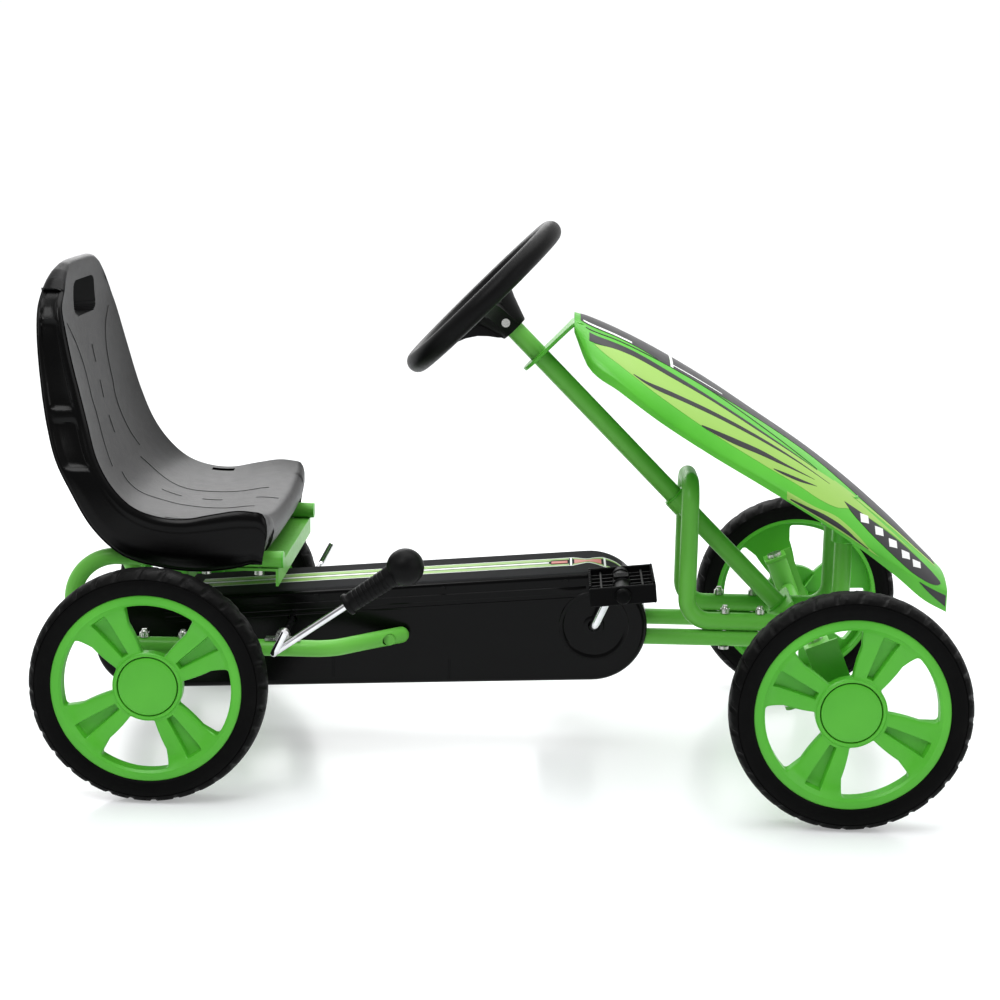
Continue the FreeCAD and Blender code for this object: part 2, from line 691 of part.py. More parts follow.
def steering_column():
    """The tube that turns with the wheel, with its lower stub and pitman arm seat."""
    length = size("column_length") - 20.5
    tube = primitive("Cylinder", "ColumnTube", at=(0, 0, "-Dims.column_length"),
                     Radius="Dims.column_radius", Height=length)
    bore = primitive("Cylinder", "ColumnTubeBore", at=(0, 0, "-Dims.column_length - 1"),
                     Radius="Dims.column_radius - 1.6", Height=length + 5)
    pin = rod("ColumnPinHole", (0, -40, -38), (0, 40, -38), 3.05)
    item = cut("SteeringColumn", tube, [bore, pin])
    item.Placement = column_frame()
    return node(item, "steering_column")


def column_bolt():
    """The cross bolt through the wheel's hub and the column."""
    shank = rod("ColumnBoltShank", (0, -26, -38), (0, 29, -38), "Dims.bolt_radius")
    head = rod("ColumnBoltHead", (0, -30, -38), (0, -25.6, -38), 5.0)
    nut = rod("ColumnBoltNut", (0, 25.6, -38), (0, 30.5, -38), 5.4)
    item = fused("ColumnBolt", [shank, head, nut])
    item.Placement = column_frame()
    return node(item, "column_bolt")


def pitman_arm():
    """A lever welded on the column's lower end, with one stud for both tie rods."""
    at, length = size("pitman_at"), size("pitman_length")
    lever = block("PitmanLever", (-length, -9, -at - 2), (0, 9, -at + 2))
    end = rod("PitmanEnd", (-length, 0, -at - 2), (-length, 0, -at + 2), 9)
    ring = rod("PitmanRing", (0, 0, -at - 2), (0, 0, -at + 2), 16)
    stud = rod("PitmanStud", (-length, 0, -at - 26), (-length, 0, -at), "Dims.stud_radius")
    nut = rod("PitmanNut", (-length, 0, -at - 25), (-length, 0, -at - 20.2), 7)
    solid = fused("PitmanSolid", [lever, end, ring, stud, nut])
    bore = rod("PitmanBore", (0, 0, -at - 5), (0, 0, -at + 5), "Dims.column_radius + 0.02")
    item = cut("PitmanArm", solid, [bore])
    item.Placement = column_frame()
    return node(item, "pitman_arm")


OUTER_EYE = -23.8


def knuckle_point(side, forward, up):
    """A point in a knuckle's own tilted frame, on the kingpin's plane."""
    lean = math.radians(size("kingpin_tilt"))
    x = size("kingpin_front") + forward * math.cos(lean) - up * math.sin(lean)
    z = size("kingpin_height") + forward * math.sin(lean) + up * math.cos(lean)
    return Vec(x, side * size("kingpin_offset"), z)


def inner_eye(drop):
    """The centre of a tie rod's inner eye, a distance below the pitman arm."""
    return Vec(*column_point(size("pitman_at") + drop, -size("pitman_length")))


def tie_rod(name, side, drop):
    """A rod with a closed eye on the pitman stud and a loose eye on the knuckle arm."""
    inner = inner_eye(drop)
    outer = knuckle_point(side, -size("steer_arm"), OUTER_EYE)
    column_axis = Vec(-1, 0, 1).normalize()
    lean = math.radians(size("kingpin_tilt"))
    kingpin_axis = Vec(-math.sin(lean), 0, math.cos(lean))
    along = (outer - inner).normalize()
    bar = rod(name + "Bar", inner + along * 6, outer - along * 6, 3.5)
    solids = [bar]
    bores = []
    ends = ((inner, column_axis, "Dims.stud_radius + 0.06"), (outer, kingpin_axis, 4.4))
    for i, (centre, axis, radius) in enumerate(ends):
        solids.append(rod("%sEye%d" % (name, i), centre - axis * 3, centre + axis * 3, 8.5))
        bores.append(rod("%sBore%d" % (name, i), centre - axis * 5, centre + axis * 5, radius))
    return node(cut(name, fused(name + "Solid", solids), bores), name)


def knuckle():
    """Right-hand knuckle: a yoke round the sleeve, a stub axle and a steering arm."""
    half = size("sleeve_length") / 2 + 0.4
    plate = size("yoke_plate")
    drop, ahead = -38.95, 8.3
    out = -(size("front_plane") - size("kingpin_offset"))
    upper = block("YokeUpper", (-14, -20, half), (14, 13, half + plate))
    lower = block("YokeLower", (-14, -20, -half - plate), (14, 13, -half))
    side = block("YokeSide", (-14, -22, -52), (22, -18, half + plate))
    stub = rod("StubAxle", (ahead, out - 7.4, drop), (ahead, -19, drop), "Dims.axle_radius")
    collar = rod("StubCollar", (ahead, out + 19.4, drop), (ahead, -19, drop), 9.5)
    reach = -size("steer_arm")
    arm = block("SteerArm", (reach, -8, -half - plate), (-10, 8, -half))
    arm_end = rod("SteerArmEnd", (reach, 0, -half - plate), (reach, 0, -half), 8)
    stud = rod("ArmStud", (reach, 0, -half - 1), (reach, 0, -11.5), 3.5)
    nut = rod("ArmNut", (reach, 0, -17.9), (reach, 0, -13.2), 6.5)
    solid = fused("KnuckleSolid",
                  [upper, lower, side, stub, collar, arm, arm_end, stud, nut])
    bore = rod("KnuckleBore", (0, 0, -60), (0, 0, 60), "Dims.kingpin_radius + 0.02")
    item = cut("KnuckleRight", solid, [bore])
    centre = knuckle_point(-1, 0, 0)
    turn = FreeCAD.Rotation(AXIS_Y, -size("kingpin_tilt"))
    item.Placement = FreeCAD.Placement(centre, turn)
    node(item, "knuckle_right")
    node(mirrored(item, "KnuckleLeft"), "knuckle_left")


def kingpin():
    """Right-hand kingpin bolt with its nut under the yoke."""
    half = size("sleeve_length") / 2 + 0.4 + size("yoke_plate")
    shank = rod("KingpinShank", (0, 0, -half - 9), (0, 0, half + 1), "Dims.kingpin_radius")
    head = rod("KingpinHead", (0, 0, half + 0.05), (0, 0, half + 5), 9)
    nut = rod("KingpinNut", (0, 0, -half - 7), (0, 0, -half - 0.05), 9)
    item = fused("KingpinRight", [shank, head, nut])
    turn = FreeCAD.Rotation(AXIS_Y, -size("kingpin_tilt"))
    item.Placement = FreeCAD.Placement(knuckle_point(-1, 0, 0), turn)
    node(item, "kingpin_right")
    node(mirrored(item, "KingpinLeft"), "kingpin_left")


# ---------------------------------------------------------------- wheels
# A wheel is drawn with its axle along Z, its middle plane at z = 0 and its face up.

ARMS = 4
WHEEL_PLACES = {
    # name: forward place, plane, side, turn of the first arm
    "front_right": ("Dims.half_base", "front_plane", -1, 65),
    "front_left": ("Dims.half_base", "front_plane", 1, 27),
    "rear_right": ("-Dims.half_base", "rear_plane", -1, 35),
    "rear_left": ("-Dims.half_base", "rear_plane", 1, 50),
}


def wheel_placement(item, corner):
    """Stand a flat-drawn wheel part up at its corner of the kart."""
    forward, plane, side, phase = WHEEL_PLACES[corner]
    stand = FreeCAD.Rotation(AXIS_X, -90 * side)
    spin = FreeCAD.Rotation(AXIS_Z, -phase * side)
    item.Placement = FreeCAD.Placement(Vec(0, side * size(plane), 0), stand.multiply(spin))
    item.setExpression(".Placement.Base.x", forward)
    item.setExpression(".Placement.Base.z", "Dims.axle_height")
    return item


def tyre(corner):
    """A solid tyre turned from its cross section."""
    body = doc.addObject("PartDesign::Body", "Tyre_" + corner)
    half = "Dims.tyre_width / 2"
    rim, out = "Dims.rim_radius", "Dims.tyre_radius"
    profile = [(rim, "-" + half + " + 2.4"), ("Dims.rim_radius + 7", "-" + half),
               (out + " - 9", "-" + half), (out + " - 2", "-" + half + " + 7"),
               (out, "-" + half + " + 12"), (out, half + " - 12"),
               (out + " - 2", half + " - 7"), (out + " - 9", half),
               ("Dims.rim_radius + 7", half), (rim, half + " - 2.4")]
    sketch = sketch_on(body, "TyreSection_" + corner, "XZ_Plane")
    bound_polygon(sketch, profile)
    revolution(body, sketch)
    return node(wheel_placement(body, corner), corner.replace("_", "_tyre_", 1))


def rim(corner):
    """Moulded rim: barrel, dished web with four double arms, hub and cap recess."""
    body = doc.addObject("PartDesign::Body", "Rim_" + corner)
    edge = "Dims.rim_radius"
    bore = "Dims.axle_radius + Dims.wheel_play"
    cup = "Dims.cap_radius + 0.2"
    profile = [(bore, -19), ("Dims.hub_radius", -19), ("Dims.hub_radius", -3), (38, -3),
               (edge + " - 5", 2), (edge + " - 5", -19), (edge, -19), (edge, 19),
               (edge + " - 9.5", 19), (edge + " - 11.5", 13), ("Dims.cap_radius + 5.4", 8),
               ("Dims.cap_radius + 4.6", 9.6), (cup, 9.6), (cup, 1), (bore, 1)]
    section = sketch_on(body, "RimSection_" + corner, "XZ_Plane")
    bound_polygon(section, profile)
    revolution(body, section)
    window = sketch_on(body, "RimWindow_" + corner, "XY_Plane", "-25")
    outline = []
    for radius, angle in ((38, -19.6), (73, -25.6), (92.5, -24.1), (93, -8), (93, 8),
                          (92.5, 24.1), (73, 25.6), (38, 19.6)):
        turn = math.radians(angle + 45)
        outline.append((radius * math.cos(turn), radius * math.sin(turn)))
    bound_polygon(window, outline)
    opening = pocket(body, window, reverse=True)
    around(body, opening, ARMS)
    channel = sketch_on(body, "RimChannel_" + corner, "XY_Plane", "25")
    bound_polygon(channel, [(41, -4.5), (90, -10), (90, 10), (41, 4.5)])
    groove = pocket(body, channel, "20.5")
    around(body, groove, ARMS)
    return node(wheel_placement(body, corner), corner.replace("_", "_rim_", 1))


def hub_cap(corner):
    """A round cap that snaps into the rim's recess."""
    disc = primitive("Cylinder", "CapDisc_" + corner, at=(0, 0, 8), Radius="Dims.cap_radius",
                     Height=2.2)
    skirt = primitive("Cylinder", "CapSkirt_" + corner, at=(0, 0, 3), Radius="Dims.cap_radius - 1",
                      Height=5.5)
    hollow = primitive("Cylinder", "CapHollow_" + corner, at=(0, 0, 1),
                       Radius="Dims.cap_radius - 3", Height=7)
    item = cut("Cap_" + corner, fused("CapSolid_" + corner, [disc, skirt]), [hollow])
    return node(wheel_placement(item, corner), corner.replace("_", "_hub_cap_", 1))


def wheel_nut(name, side, plane, x):
    """A lock nut and washer on the end of an axle, under the hub cap."""
    face = side * (size(plane) + 1.1)
    z = size("axle_height")
    washer = rod(name + "Washer", (x, face, z), (x, face + side * 1.2, z), 11)
    nut = rod(name + "Nut", (x, face + side, z), (x, face + side * 6, z), 9)
    bore = rod(name + "Bore", (x, face - side, z), (x, face + side * 8, z), "Dims.axle_radius")
    return cut(name, fused(name + "Solid", [washer, nut]), [bore])


def wheels():
    for corner in WHEEL_PLACES:
        tyre(corner)
        rim(corner)
        hub_cap(corner)
    front, rear = size("half_base"), -size("half_base")
    node(wheel_nut("FrontNutRight", -1, "front_plane", front), "front_axle_nut_right")
    node(wheel_nut("FrontNutLeft", 1, "front_plane", front), "front_axle_nut_left")
    rear_nuts = [wheel_nut("RearNut%d" % (side + 1), side, "rear_plane", rear)
                 for side in (-1, 1)]
    node(grouped("RearAxleNuts", rear_nuts), "rear_axle_nuts")


# ---------------------------------------------------------------- crank, chain and rear axle

def crank_point(side, share=1.0):
    """The place along a crank arm, from the main shaft out to the pedal spindle."""
    lean = math.radians(size("crank_lean"))
    reach = -side * size("crank_arm") * share
    return (size("crank_front") + reach * math.sin(lean),
            size("crank_height") + reach * math.cos(lean))


def crank():
    """One bent bar: spindle, arm, main shaft, arm, spindle."""
    near, far = crank_point(-1), crank_point(1)
    x, z = size("crank_front"), size("crank_height")
    tip = size("pedal_offset") + size("pedal_width") / 2 + 4
    points = [(near[0], -tip, near[1]), (near[0], -91, near[1]), (x, -75, z),
              (x, 75, z), (far[0], 91, far[1]), (far[0], tip, far[1])]
    return node(made("Crank", bent_bar(points, 9, size("crank_radius"))), "crank")


def sprocket(name, teeth, pitch_radius, bore, phase, at):
    """A toothed disc with short teeth that stay clear of the fixed chain's rollers."""
    body = doc.addObject("PartDesign::Body", name)
    tip = pitch_radius + " - Dims.roller_radius - Dims.chain_gap"
    disc = sketch_on(body, name + "Disc", "XY_Plane")
    bound_circle(disc, ("0", "0"), tip + " - 3.2")
    pad(body, disc, "3", midplane=True)
    tooth = sketch_on(body, name + "Tooth", "XY_Plane")
    root = tip + " - 4.5"
    bound_polygon(tooth, [(root, -2.6), (tip + " - 0.1", -1.1), (tip + " - 0.1", 1.1),
                          (root, 2.6)])
    teeth_pad = pad(body, tooth, "2.6", midplane=True)
    around(body, teeth_pad, teeth)
    hole = sketch_on(body, name + "Hole", "XY_Plane")
    bound_circle(hole, ("0", "0"), bore)
    pocket(body, hole, "10", midplane=True)
    if teeth > 20:
        light = sketch_on(body, name + "Light", "XY_Plane")
        bound_circle(light, (tip + " * 0.58", "0"), "8")
        opening = pocket(body, light, "10", midplane=True)
        around(body, opening, 5)
    turn = FreeCAD.Rotation(AXIS_X, 90).multiply(FreeCAD.Rotation(AXIS_Z, phase))
    body.Placement = FreeCAD.Placement(Vec(*at), turn)
    return body


def sprockets():
    """The crank's sprocket and the smaller one on the rear axle."""
    front = (size("crank_front"), 0, size("crank_height"))
    rear = (-size("half_base"), 0, size("axle_height"))
    node(sprocket("CrankSprocket", int(size("front_teeth")), "Dims.front_pitch_radius",
                  "Dims.crank_radius + 0.02", 0, front), "crank_sprocket")
    node(sprocket("RearSprocket", int(size("rear_teeth")), "Dims.rear_pitch_radius",
                  "Dims.axle_radius + 0.02", 0, rear), "rear_sprocket")


def belt_ends(first, first_radius, second, second_radius):
    """Where a tight belt leaves two wheels: upper and lower points on each."""
    gap = Vec(second[0] - first[0], 0, second[1] - first[1])
    lean = math.atan2(gap.z, gap.x)
    swing = math.acos((first_radius - second_radius) / gap.Length)
    points = []
    for turn in (lean - swing, lean + swing):
        ray = Vec(math.cos(turn), 0, math.sin(turn))
        points.append((Vec(first[0], 0, first[1]) + ray * first_radius,
                       Vec(second[0], 0, second[1]) + ray * second_radius))
    return points


def belt_wire(first, first_radius, second, second_radius):
    """The closed outline of a belt round two wheels; the second is behind the first."""
    upper, lower = belt_ends(first, first_radius, second, second_radius)
    front_tip = Vec(first[0] + first_radius, 0, first[1])
    rear_tip = Vec(second[0] - second_radius, 0, second[1])
    return Part.Wire([Part.LineSegment(upper[0], upper[1]).toShape(),
                      Part.Arc(upper[1], rear_tip, lower[1]).toShape(),
                      Part.LineSegment(lower[1], lower[0]).toShape(),
                      Part.Arc(lower[0], front_tip, upper[0]).toShape()])


def belt_solid(first, first_radius, second, second_radius, low, high):
    """The belt's outline filled in and thickened from one y to another."""
    face = Part.Face(belt_wire(first, first_radius, second, second_radius))
    face.translate(Vec(0, low, 0))
    return face.extrude(Vec(0, high - low, 0))


def drive_chain():
    """Roller chain as two plate strands with rollers between them."""
    front = (size("crank_front"), size("crank_height"))
    rear = (-size("half_base"), size("axle_height"))
    big, small = size("front_pitch_radius"), size("rear_pitch_radius")
    pieces = []
    for low, high in ((-4.6, -3.5), (3.5, 4.6)):
        outer = belt_solid(front, big + 3.9, rear, small + 3.9, low, high)
        inner = belt_solid(front, big - 3.9, rear, small - 3.9, low - 1, high + 1)
        pieces.append(outer.cut(inner))
    path = belt_wire(front, big, rear, small)
    links = 2 * round(path.Length / 12.7 / 2)
    for point in path.discretize(Number=links + 1)[:-1]:
        start = Vec(point.x, -3.5, point.z)
        pieces.append(Part.makeCylinder(size("roller_radius"), 7, start, AXIS_Y))
    return node(made("DriveChain", Part.makeCompound(pieces)), "drive_chain")


def rear_axle():
    reach = size("rear_plane") + 8
    x, z = -size("half_base"), size("axle_height")
    node(rod("RearAxle", (x, -reach, z), (x, reach, z), "Dims.axle_radius"), "rear_axle")
    collars = []
    for side in (-1, 1):
        name = "Collar%d" % (side + 1)
        collar = rod(name + "Body", (x, side * 163, z), (x, side * 223.9, z), 9.5)
        bore = rod(name + "Bore", (x, side * 160, z), (x, side * 230, z), "Dims.axle_radius")
        collars.append(cut(name, collar, [bore]))
    node(grouped("AxleSpacers", collars), "axle_spacers")


def pedal():
    """Right-hand pedal: a cage with tread teeth, round a housing for the spindle."""
    long, wide, thick = size("pedal_length"), size("pedal_width"), size("pedal_thick")
    frame = block("PedalBlank", (-long / 2, -wide / 2, -thick / 2),
                  (long / 2, wide / 2, thick / 2))
    windows = []
    for low, high in ((-long / 2 + 5, -11), (11, long / 2 - 5)):
        for part in range(3):
            start = -wide / 2 + 6 + part * (wide - 9) / 3
            windows.append(block("PedalWindow", (low, start, -thick),
                                 (high, start + (wide - 18) / 3, thick)))
    teeth = []
    for edge in (-long / 2, long / 2 - 3):
        for up in (-thick / 2 - 2, thick / 2 - 1):
            for i in range(11):
                start = -wide / 2 + 3 + i * (wide - 6) / 11
                teeth.append(block("PedalTooth", (edge, start, up), (edge + 3, start + 5, up + 3)))
    housing = rod("PedalHousing", (0, -wide / 2, 0), (0, wide / 2, 0), 11)
    solid = fused("PedalSolid", [cut("PedalCage", frame, windows), housing] + teeth)
    bore = rod("PedalBore", (0, -wide, 0), (0, wide, 0), "Dims.crank_radius + 0.07")
    return cut("Pedal", solid, [bore])


def pedals():
    """The right pedal at the top of its turn, and the same moulding on the left."""
    for name, side in (("pedal_right", -1), ("pedal_left", 1)):
        item = pedal()
        x, z = crank_point(side)
        item.Placement = FreeCAD.Placement(
            Vec(x, side * size("pedal_offset"), z),
            FreeCAD.Rotation(AXIS_Y, -size("pedal_tilt")))
        node(item, name)
    nuts = []
    tip = size("pedal_offset") + size("pedal_width") / 2
    for side in (-1, 1):
        x, z = crank_point(side)
        name = "PedalNut%d" % (side + 1)
        nut = rod(name + "Body", (x, side * (tip + 0.5), z), (x, side * (tip + 5.5), z), 8)
        bore = rod(name + "Bore", (x, side * tip, z), (x, side * (tip + 9), z),
                   "Dims.crank_radius")
        nuts.append(cut(name, nut, [bore]))
    node(grouped("PedalNuts", nuts), "pedal_nuts")


# ---------------------------------------------------------------- chain guard

def chain_guard():
    """Moulded case round the chain, split into a lower trough and an upper cover."""
    front = (size("guard_front"), size("guard_front_height"))
    rear = (size("guard_rear"), size("guard_rear_height"))
    big, small = size("guard_front_radius"), size("guard_rear_radius")
    half, wall = size("guard_half"), size("guard_wall")
    outer = belt_solid(front, big, rear, small, -half, half)
    rims = [edge for edge in outer.Edges if abs(abs(edge.CenterOfMass.y) - half) < 0.01]
    outer = outer.makeFillet(7, rims)
    inner = belt_solid(front, big - wall, rear, small - wall, wall - half, half - wall)
    inner = inner.makeFillet(4.5, [edge for edge in inner.Edges
                                   if abs(abs(edge.CenterOfMass.y) - half + wall) < 0.01])
    case = outer.cut(inner)
    rail_y, rail_z = size("rail_offset"), size("rail_height")
    cutters = [Part.makeCylinder(9, 200, Vec(size("crank_front"), -100, size("crank_height")),
                                 AXIS_Y),
               Part.makeCylinder(11, 200, Vec(-size("half_base"), -100, size("axle_height")),
                                 AXIS_Y),
               Part.makeCylinder(5.5, 200, Vec(size("brake_front"), -100, size("brake_height")),
                                 AXIS_Y),
               Part.makeCylinder(3.2, 200, Vec(size("side_bolt_front"), -100, rail_z), AXIS_Y)]
    for side in (-1, 1):
        start = Vec(size("guard_front"), side * rail_y, rail_z)
        cutters.append(Part.makeCylinder(size("rail_radius") + 0.3, 90, start, AXIS_X))
    upper = belt_ends(front, big, rear, small)[0]
    span = upper[0] - upper[1]
    along = Vec(span).normalize()
    down = Vec(along.z, 0, -along.x)
    spots = [upper[1] + span * share + down * (size("guard_cover_depth") - 5)
             for share in (0.12, 0.4, 0.68, 0.95)]
    cutters += [Part.makeCylinder(1.65, 200, Vec(spot.x, -100, spot.z), AXIS_Y) for spot in spots]
    for cutter in cutters:
        case = case.cut(cutter)
    corner = upper[1] + down * size("guard_cover_depth") - along * 120
    lid_side = [corner, corner + along * 800, corner + along * 800 - down * 90,
                corner - down * 90, corner]
    lid = Part.Face(Part.makePolygon(lid_side))
    lid.translate(Vec(0, -half - 10, 0))
    lid = lid.extrude(Vec(0, 2 * half + 20, 0))
    node(made("GuardCover", case.common(lid)), "guard_cover")
    node(made("GuardTrough", case.cut(lid)), "guard_trough")
    screws = []
    for i, spot in enumerate(spots):
        for side in (-1, 1):
            start = Vec(spot.x, side * (half - wall - 3), spot.z)
            name = "GuardScrew%d%d" % (i, side + 1)
            shank = rod(name + "Shank", start, start + Vec(0, side * (wall + 4), 0), 1.6)
            face = Vec(spot.x, side * (half + 0.02), spot.z)
            head = rod(name + "Head", face, face + Vec(0, side * 2, 0), 3.6)
            screws.append(fused(name, [shank, head]))
    node(grouped("GuardScrews", screws), "guard_screws")


# ---------------------------------------------------------------- brake

def brake():
    """A cross bar with a finger in front of each rear tyre, and a hand lever on the right."""
    x, z, radius = size("brake_front"), size("brake_height"), size("brake_radius")
    near_tip = (x + 14, -240, z + 27)
    points = [near_tip, (x, -234, z), (x, 234, z), (x + 14, 240, z + 27)]
    bar = made("BrakeRod", bent_bar(points, 7, radius))
    grip_low, grip_high = Vec(-162, -226, 215.5), Vec(-112, -226, 255.3)
    ball = Vec(-101, -226, 264)
    lever = rod("BrakeLever", (x, -226, z), ball, "Dims.brake_radius")
    node(fused("BrakeBar", [bar, lever]), "brake_bar")
    sleeve = rod("GripSleeve", grip_low, grip_high, "Dims.grip_radius")
    knob = primitive("Sphere", "GripBall", at=tuple(ball), Radius="Dims.ball_radius")
    bore = rod("GripBore", (x, -226, z), ball, "Dims.brake_radius + 0.02")
    node(cut("BrakeGrip", fused("GripSolid", [sleeve, knob]), [bore]), "brake_grip")
    clips = []
    for side in (-1, 1):
        name = "BrakeClip%d" % (side + 1)
        y = side * size("side_offset")
        ring = rod(name + "Ring", (x, y - 6, z), (x, y + 6, z), 8)
        feet = block(name + "Feet", (x - 20, y - 6, z - 4.6), (x + 20, y + 6, z - 1.6))
        tube_z = size("side_low")
        tube_seat = rod(name + "Seat", (x - 30, y, tube_z), (x + 30, y, tube_z), 9.55)
        bore = rod(name + "Bore", (x, y - 10, z), (x, y + 10, z), "Dims.brake_radius + 0.07")
        clips.append(cut(name, fused(name + "Solid", [ring, feet]), [tube_seat, bore]))
    node(grouped("BrakeClips", clips), "brake_clips")


# ---------------------------------------------------------------- front panel

# forward place, crown height, height of the side's lower edge, half width, side depth
PANEL_STATIONS = [(77, 521, 502, 42, 6), (94, 516, 466, 77, 10), (128, 502, 443, 98, 10),
                  (175, 479, 411, 114, 7), (230, 448, 378, 124, 6), (290, 410, 344, 127, 8),
                  (350, 371, 308, 121, 8), (400, 334, 275, 108, 8), (450, 292, 237, 90, 12),
                  (485, 259, 207, 73, 20), (517.5, 228, 187, 51, 24)]


def panel_section(station, inner):
    """One cross section of the front panel: crown, side flanges and open underside."""
    x, crown, edge, half, depth = station
    wall = size("panel_wall") if inner else 0
    half -= wall
    crown -= wall * 1.3
    shoulder = edge + depth - wall
    low = edge - (5 if inner else 0)
    flange_left = Vec(x, half, low)
    flange_right = Vec(x, -half, low)
    top_left, top_right = Vec(x, half, shoulder), Vec(x, -half, shoulder)
    rise = crown - shoulder
    knee = [Vec(x, side * half * 0.62, shoulder + rise * 0.72) for side in (-1, 1)]
    arc = Part.BSplineCurve()
    arc.interpolate([top_right, knee[0], Vec(x, 0, crown), knee[1], top_left])
    return Part.Wire([Part.LineSegment(flange_right, top_right).toShape(), arc.toShape(),
                      Part.LineSegment(top_left, flange_left).toShape(),
                      Part.LineSegment(flange_left, flange_right).toShape()])


def front_panel():
    """Crowned front panel, its folded tab round the column and its sockets for the hoop."""
    outer = Part.makeLoft([panel_section(s, False) for s in PANEL_STATIONS], True, True)
    inner = Part.makeLoft([panel_section(s, True) for s in PANEL_STATIONS[1:-1]], True, True)
    solid = outer.cut(inner)
    thick = size("panel_thick")
    reach, width = size("tab_reach"), size("tab_half")
    blank = Part.makeBox(reach, 2 * width, thick, Vec(0, -width, -thick / 2))
    fold = Part.makeBox(14, 2 * width + 20, thick, Vec(reach - 14, -width - 10, -thick / 2))
    blank = blank.fuse(fold)
    blank = blank.fuse(Part.makeCylinder(width, thick, Vec(0, 0, -thick / 2)))
    blank = blank.cut(Part.makeCylinder(size("column_radius") + 1.2, 20, Vec(0, 0, -10)))
    blank.Placement = column_frame(size("tab_along"))
    solid = solid.fuse(blank)
    for side in (-1, 1):
        foot = Vec(size("hoop_front"), side * size("rail_offset"), size("hoop_top") - 17)
        socket = Part.makeCylinder(14, 60, foot)
        socket = socket.common(outer)
        leg = Part.makeCylinder(size("hoop_radius") + 0.25, 17.3, foot)
        screw = Part.makeCylinder(2.1, 40, foot + Vec(0, -20, 8), AXIS_Y)
        solid = solid.fuse(socket).cut(leg).cut(screw)
    biggest = max(solid.Solids, key=lambda piece: piece.Volume)
    node(made("FrontPanel", biggest), "front_panel")
    screws = []
    for side in (-1, 1):
        y = side * size("rail_offset")
        start = Vec(size("hoop_front"), y - side * 14.1, size("hoop_top") - 9)
        name = "PanelScrew%d" % (side + 1)
        shank = rod(name + "Shank", start, start + Vec(0, side * 3.3, 0), 2.0)
        head = rod(name + "Head", start, start - Vec(0, side * 2.5, 0), 4.5)
        screws.append(fused(name, [shank, head]))
    node(grouped("PanelScrews", screws), "panel_screws")


def finish():
    """Recompute, check every object and write one file per sub-part."""
    doc.recompute()
    for item in doc.Objects:
        if "Invalid" in item.State or "Error" in item.State:
            raise RuntimeError("%s did not compute: %s" % (item.Name, item.State))
    for item in NODES:
        if item.Shape.isNull() or not item.Shape.isValid():
            raise RuntimeError("%s has no valid shape" % item.Label)
    for item in NODES:
        item.Shape.exportStep("parts/%s.step" % item.Label)
        print("%-22s solids %2d  volume %9.0f" % (
            item.Label, len(item.Shape.Solids), item.Shape.Volume))


rail("rail_right", -1)
rail("rail_left", 1)
front_beam()
crank_hangers()
crank_bushes()
steering_hoop()
hoop_fasteners()
column_plate()
column_bushes()
side_tube()
tube_plugs()
side_tube_bolts()
axle_bearings()
axle_bearing_bolts()
seat_bracket()
seat_fasteners()
seat()
steering_wheel()
steering_column()
column_bolt()
pitman_arm()
tie_rod("tie_rod_right", -1, 8)
tie_rod("tie_rod_left", 1, 15)
knuckle()
kingpin()
wheels()
crank()
sprockets()
drive_chain()
rear_axle()
pedals()
chain_guard()
brake()
front_panel()
finish()
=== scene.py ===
import json
import math

import bmesh
import bpy
from mathutils import Matrix, Vector


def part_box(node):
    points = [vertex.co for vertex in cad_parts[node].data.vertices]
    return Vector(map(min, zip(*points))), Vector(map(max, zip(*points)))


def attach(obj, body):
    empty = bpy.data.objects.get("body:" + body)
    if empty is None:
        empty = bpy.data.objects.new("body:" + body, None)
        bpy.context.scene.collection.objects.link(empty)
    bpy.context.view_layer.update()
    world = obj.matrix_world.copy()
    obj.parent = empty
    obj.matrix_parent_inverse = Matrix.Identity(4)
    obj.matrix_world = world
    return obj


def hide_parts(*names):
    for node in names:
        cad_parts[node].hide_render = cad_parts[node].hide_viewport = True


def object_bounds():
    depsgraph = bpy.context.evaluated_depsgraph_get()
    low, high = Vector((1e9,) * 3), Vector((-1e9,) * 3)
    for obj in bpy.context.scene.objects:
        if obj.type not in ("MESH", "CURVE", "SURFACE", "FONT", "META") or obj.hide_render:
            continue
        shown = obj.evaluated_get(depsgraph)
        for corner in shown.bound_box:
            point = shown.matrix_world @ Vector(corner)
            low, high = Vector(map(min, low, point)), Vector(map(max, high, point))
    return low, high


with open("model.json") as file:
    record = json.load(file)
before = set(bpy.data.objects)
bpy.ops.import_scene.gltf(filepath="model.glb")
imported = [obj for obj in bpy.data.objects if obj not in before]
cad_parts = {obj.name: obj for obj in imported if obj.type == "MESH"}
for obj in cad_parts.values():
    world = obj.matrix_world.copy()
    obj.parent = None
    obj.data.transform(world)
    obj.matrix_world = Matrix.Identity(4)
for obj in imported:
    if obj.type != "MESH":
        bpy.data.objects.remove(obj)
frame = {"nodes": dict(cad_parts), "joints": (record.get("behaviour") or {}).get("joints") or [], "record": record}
CAD_BOX = [list(corner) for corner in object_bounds()]
NODES = frame["nodes"]
MM = 0.001


# ---- shading helpers

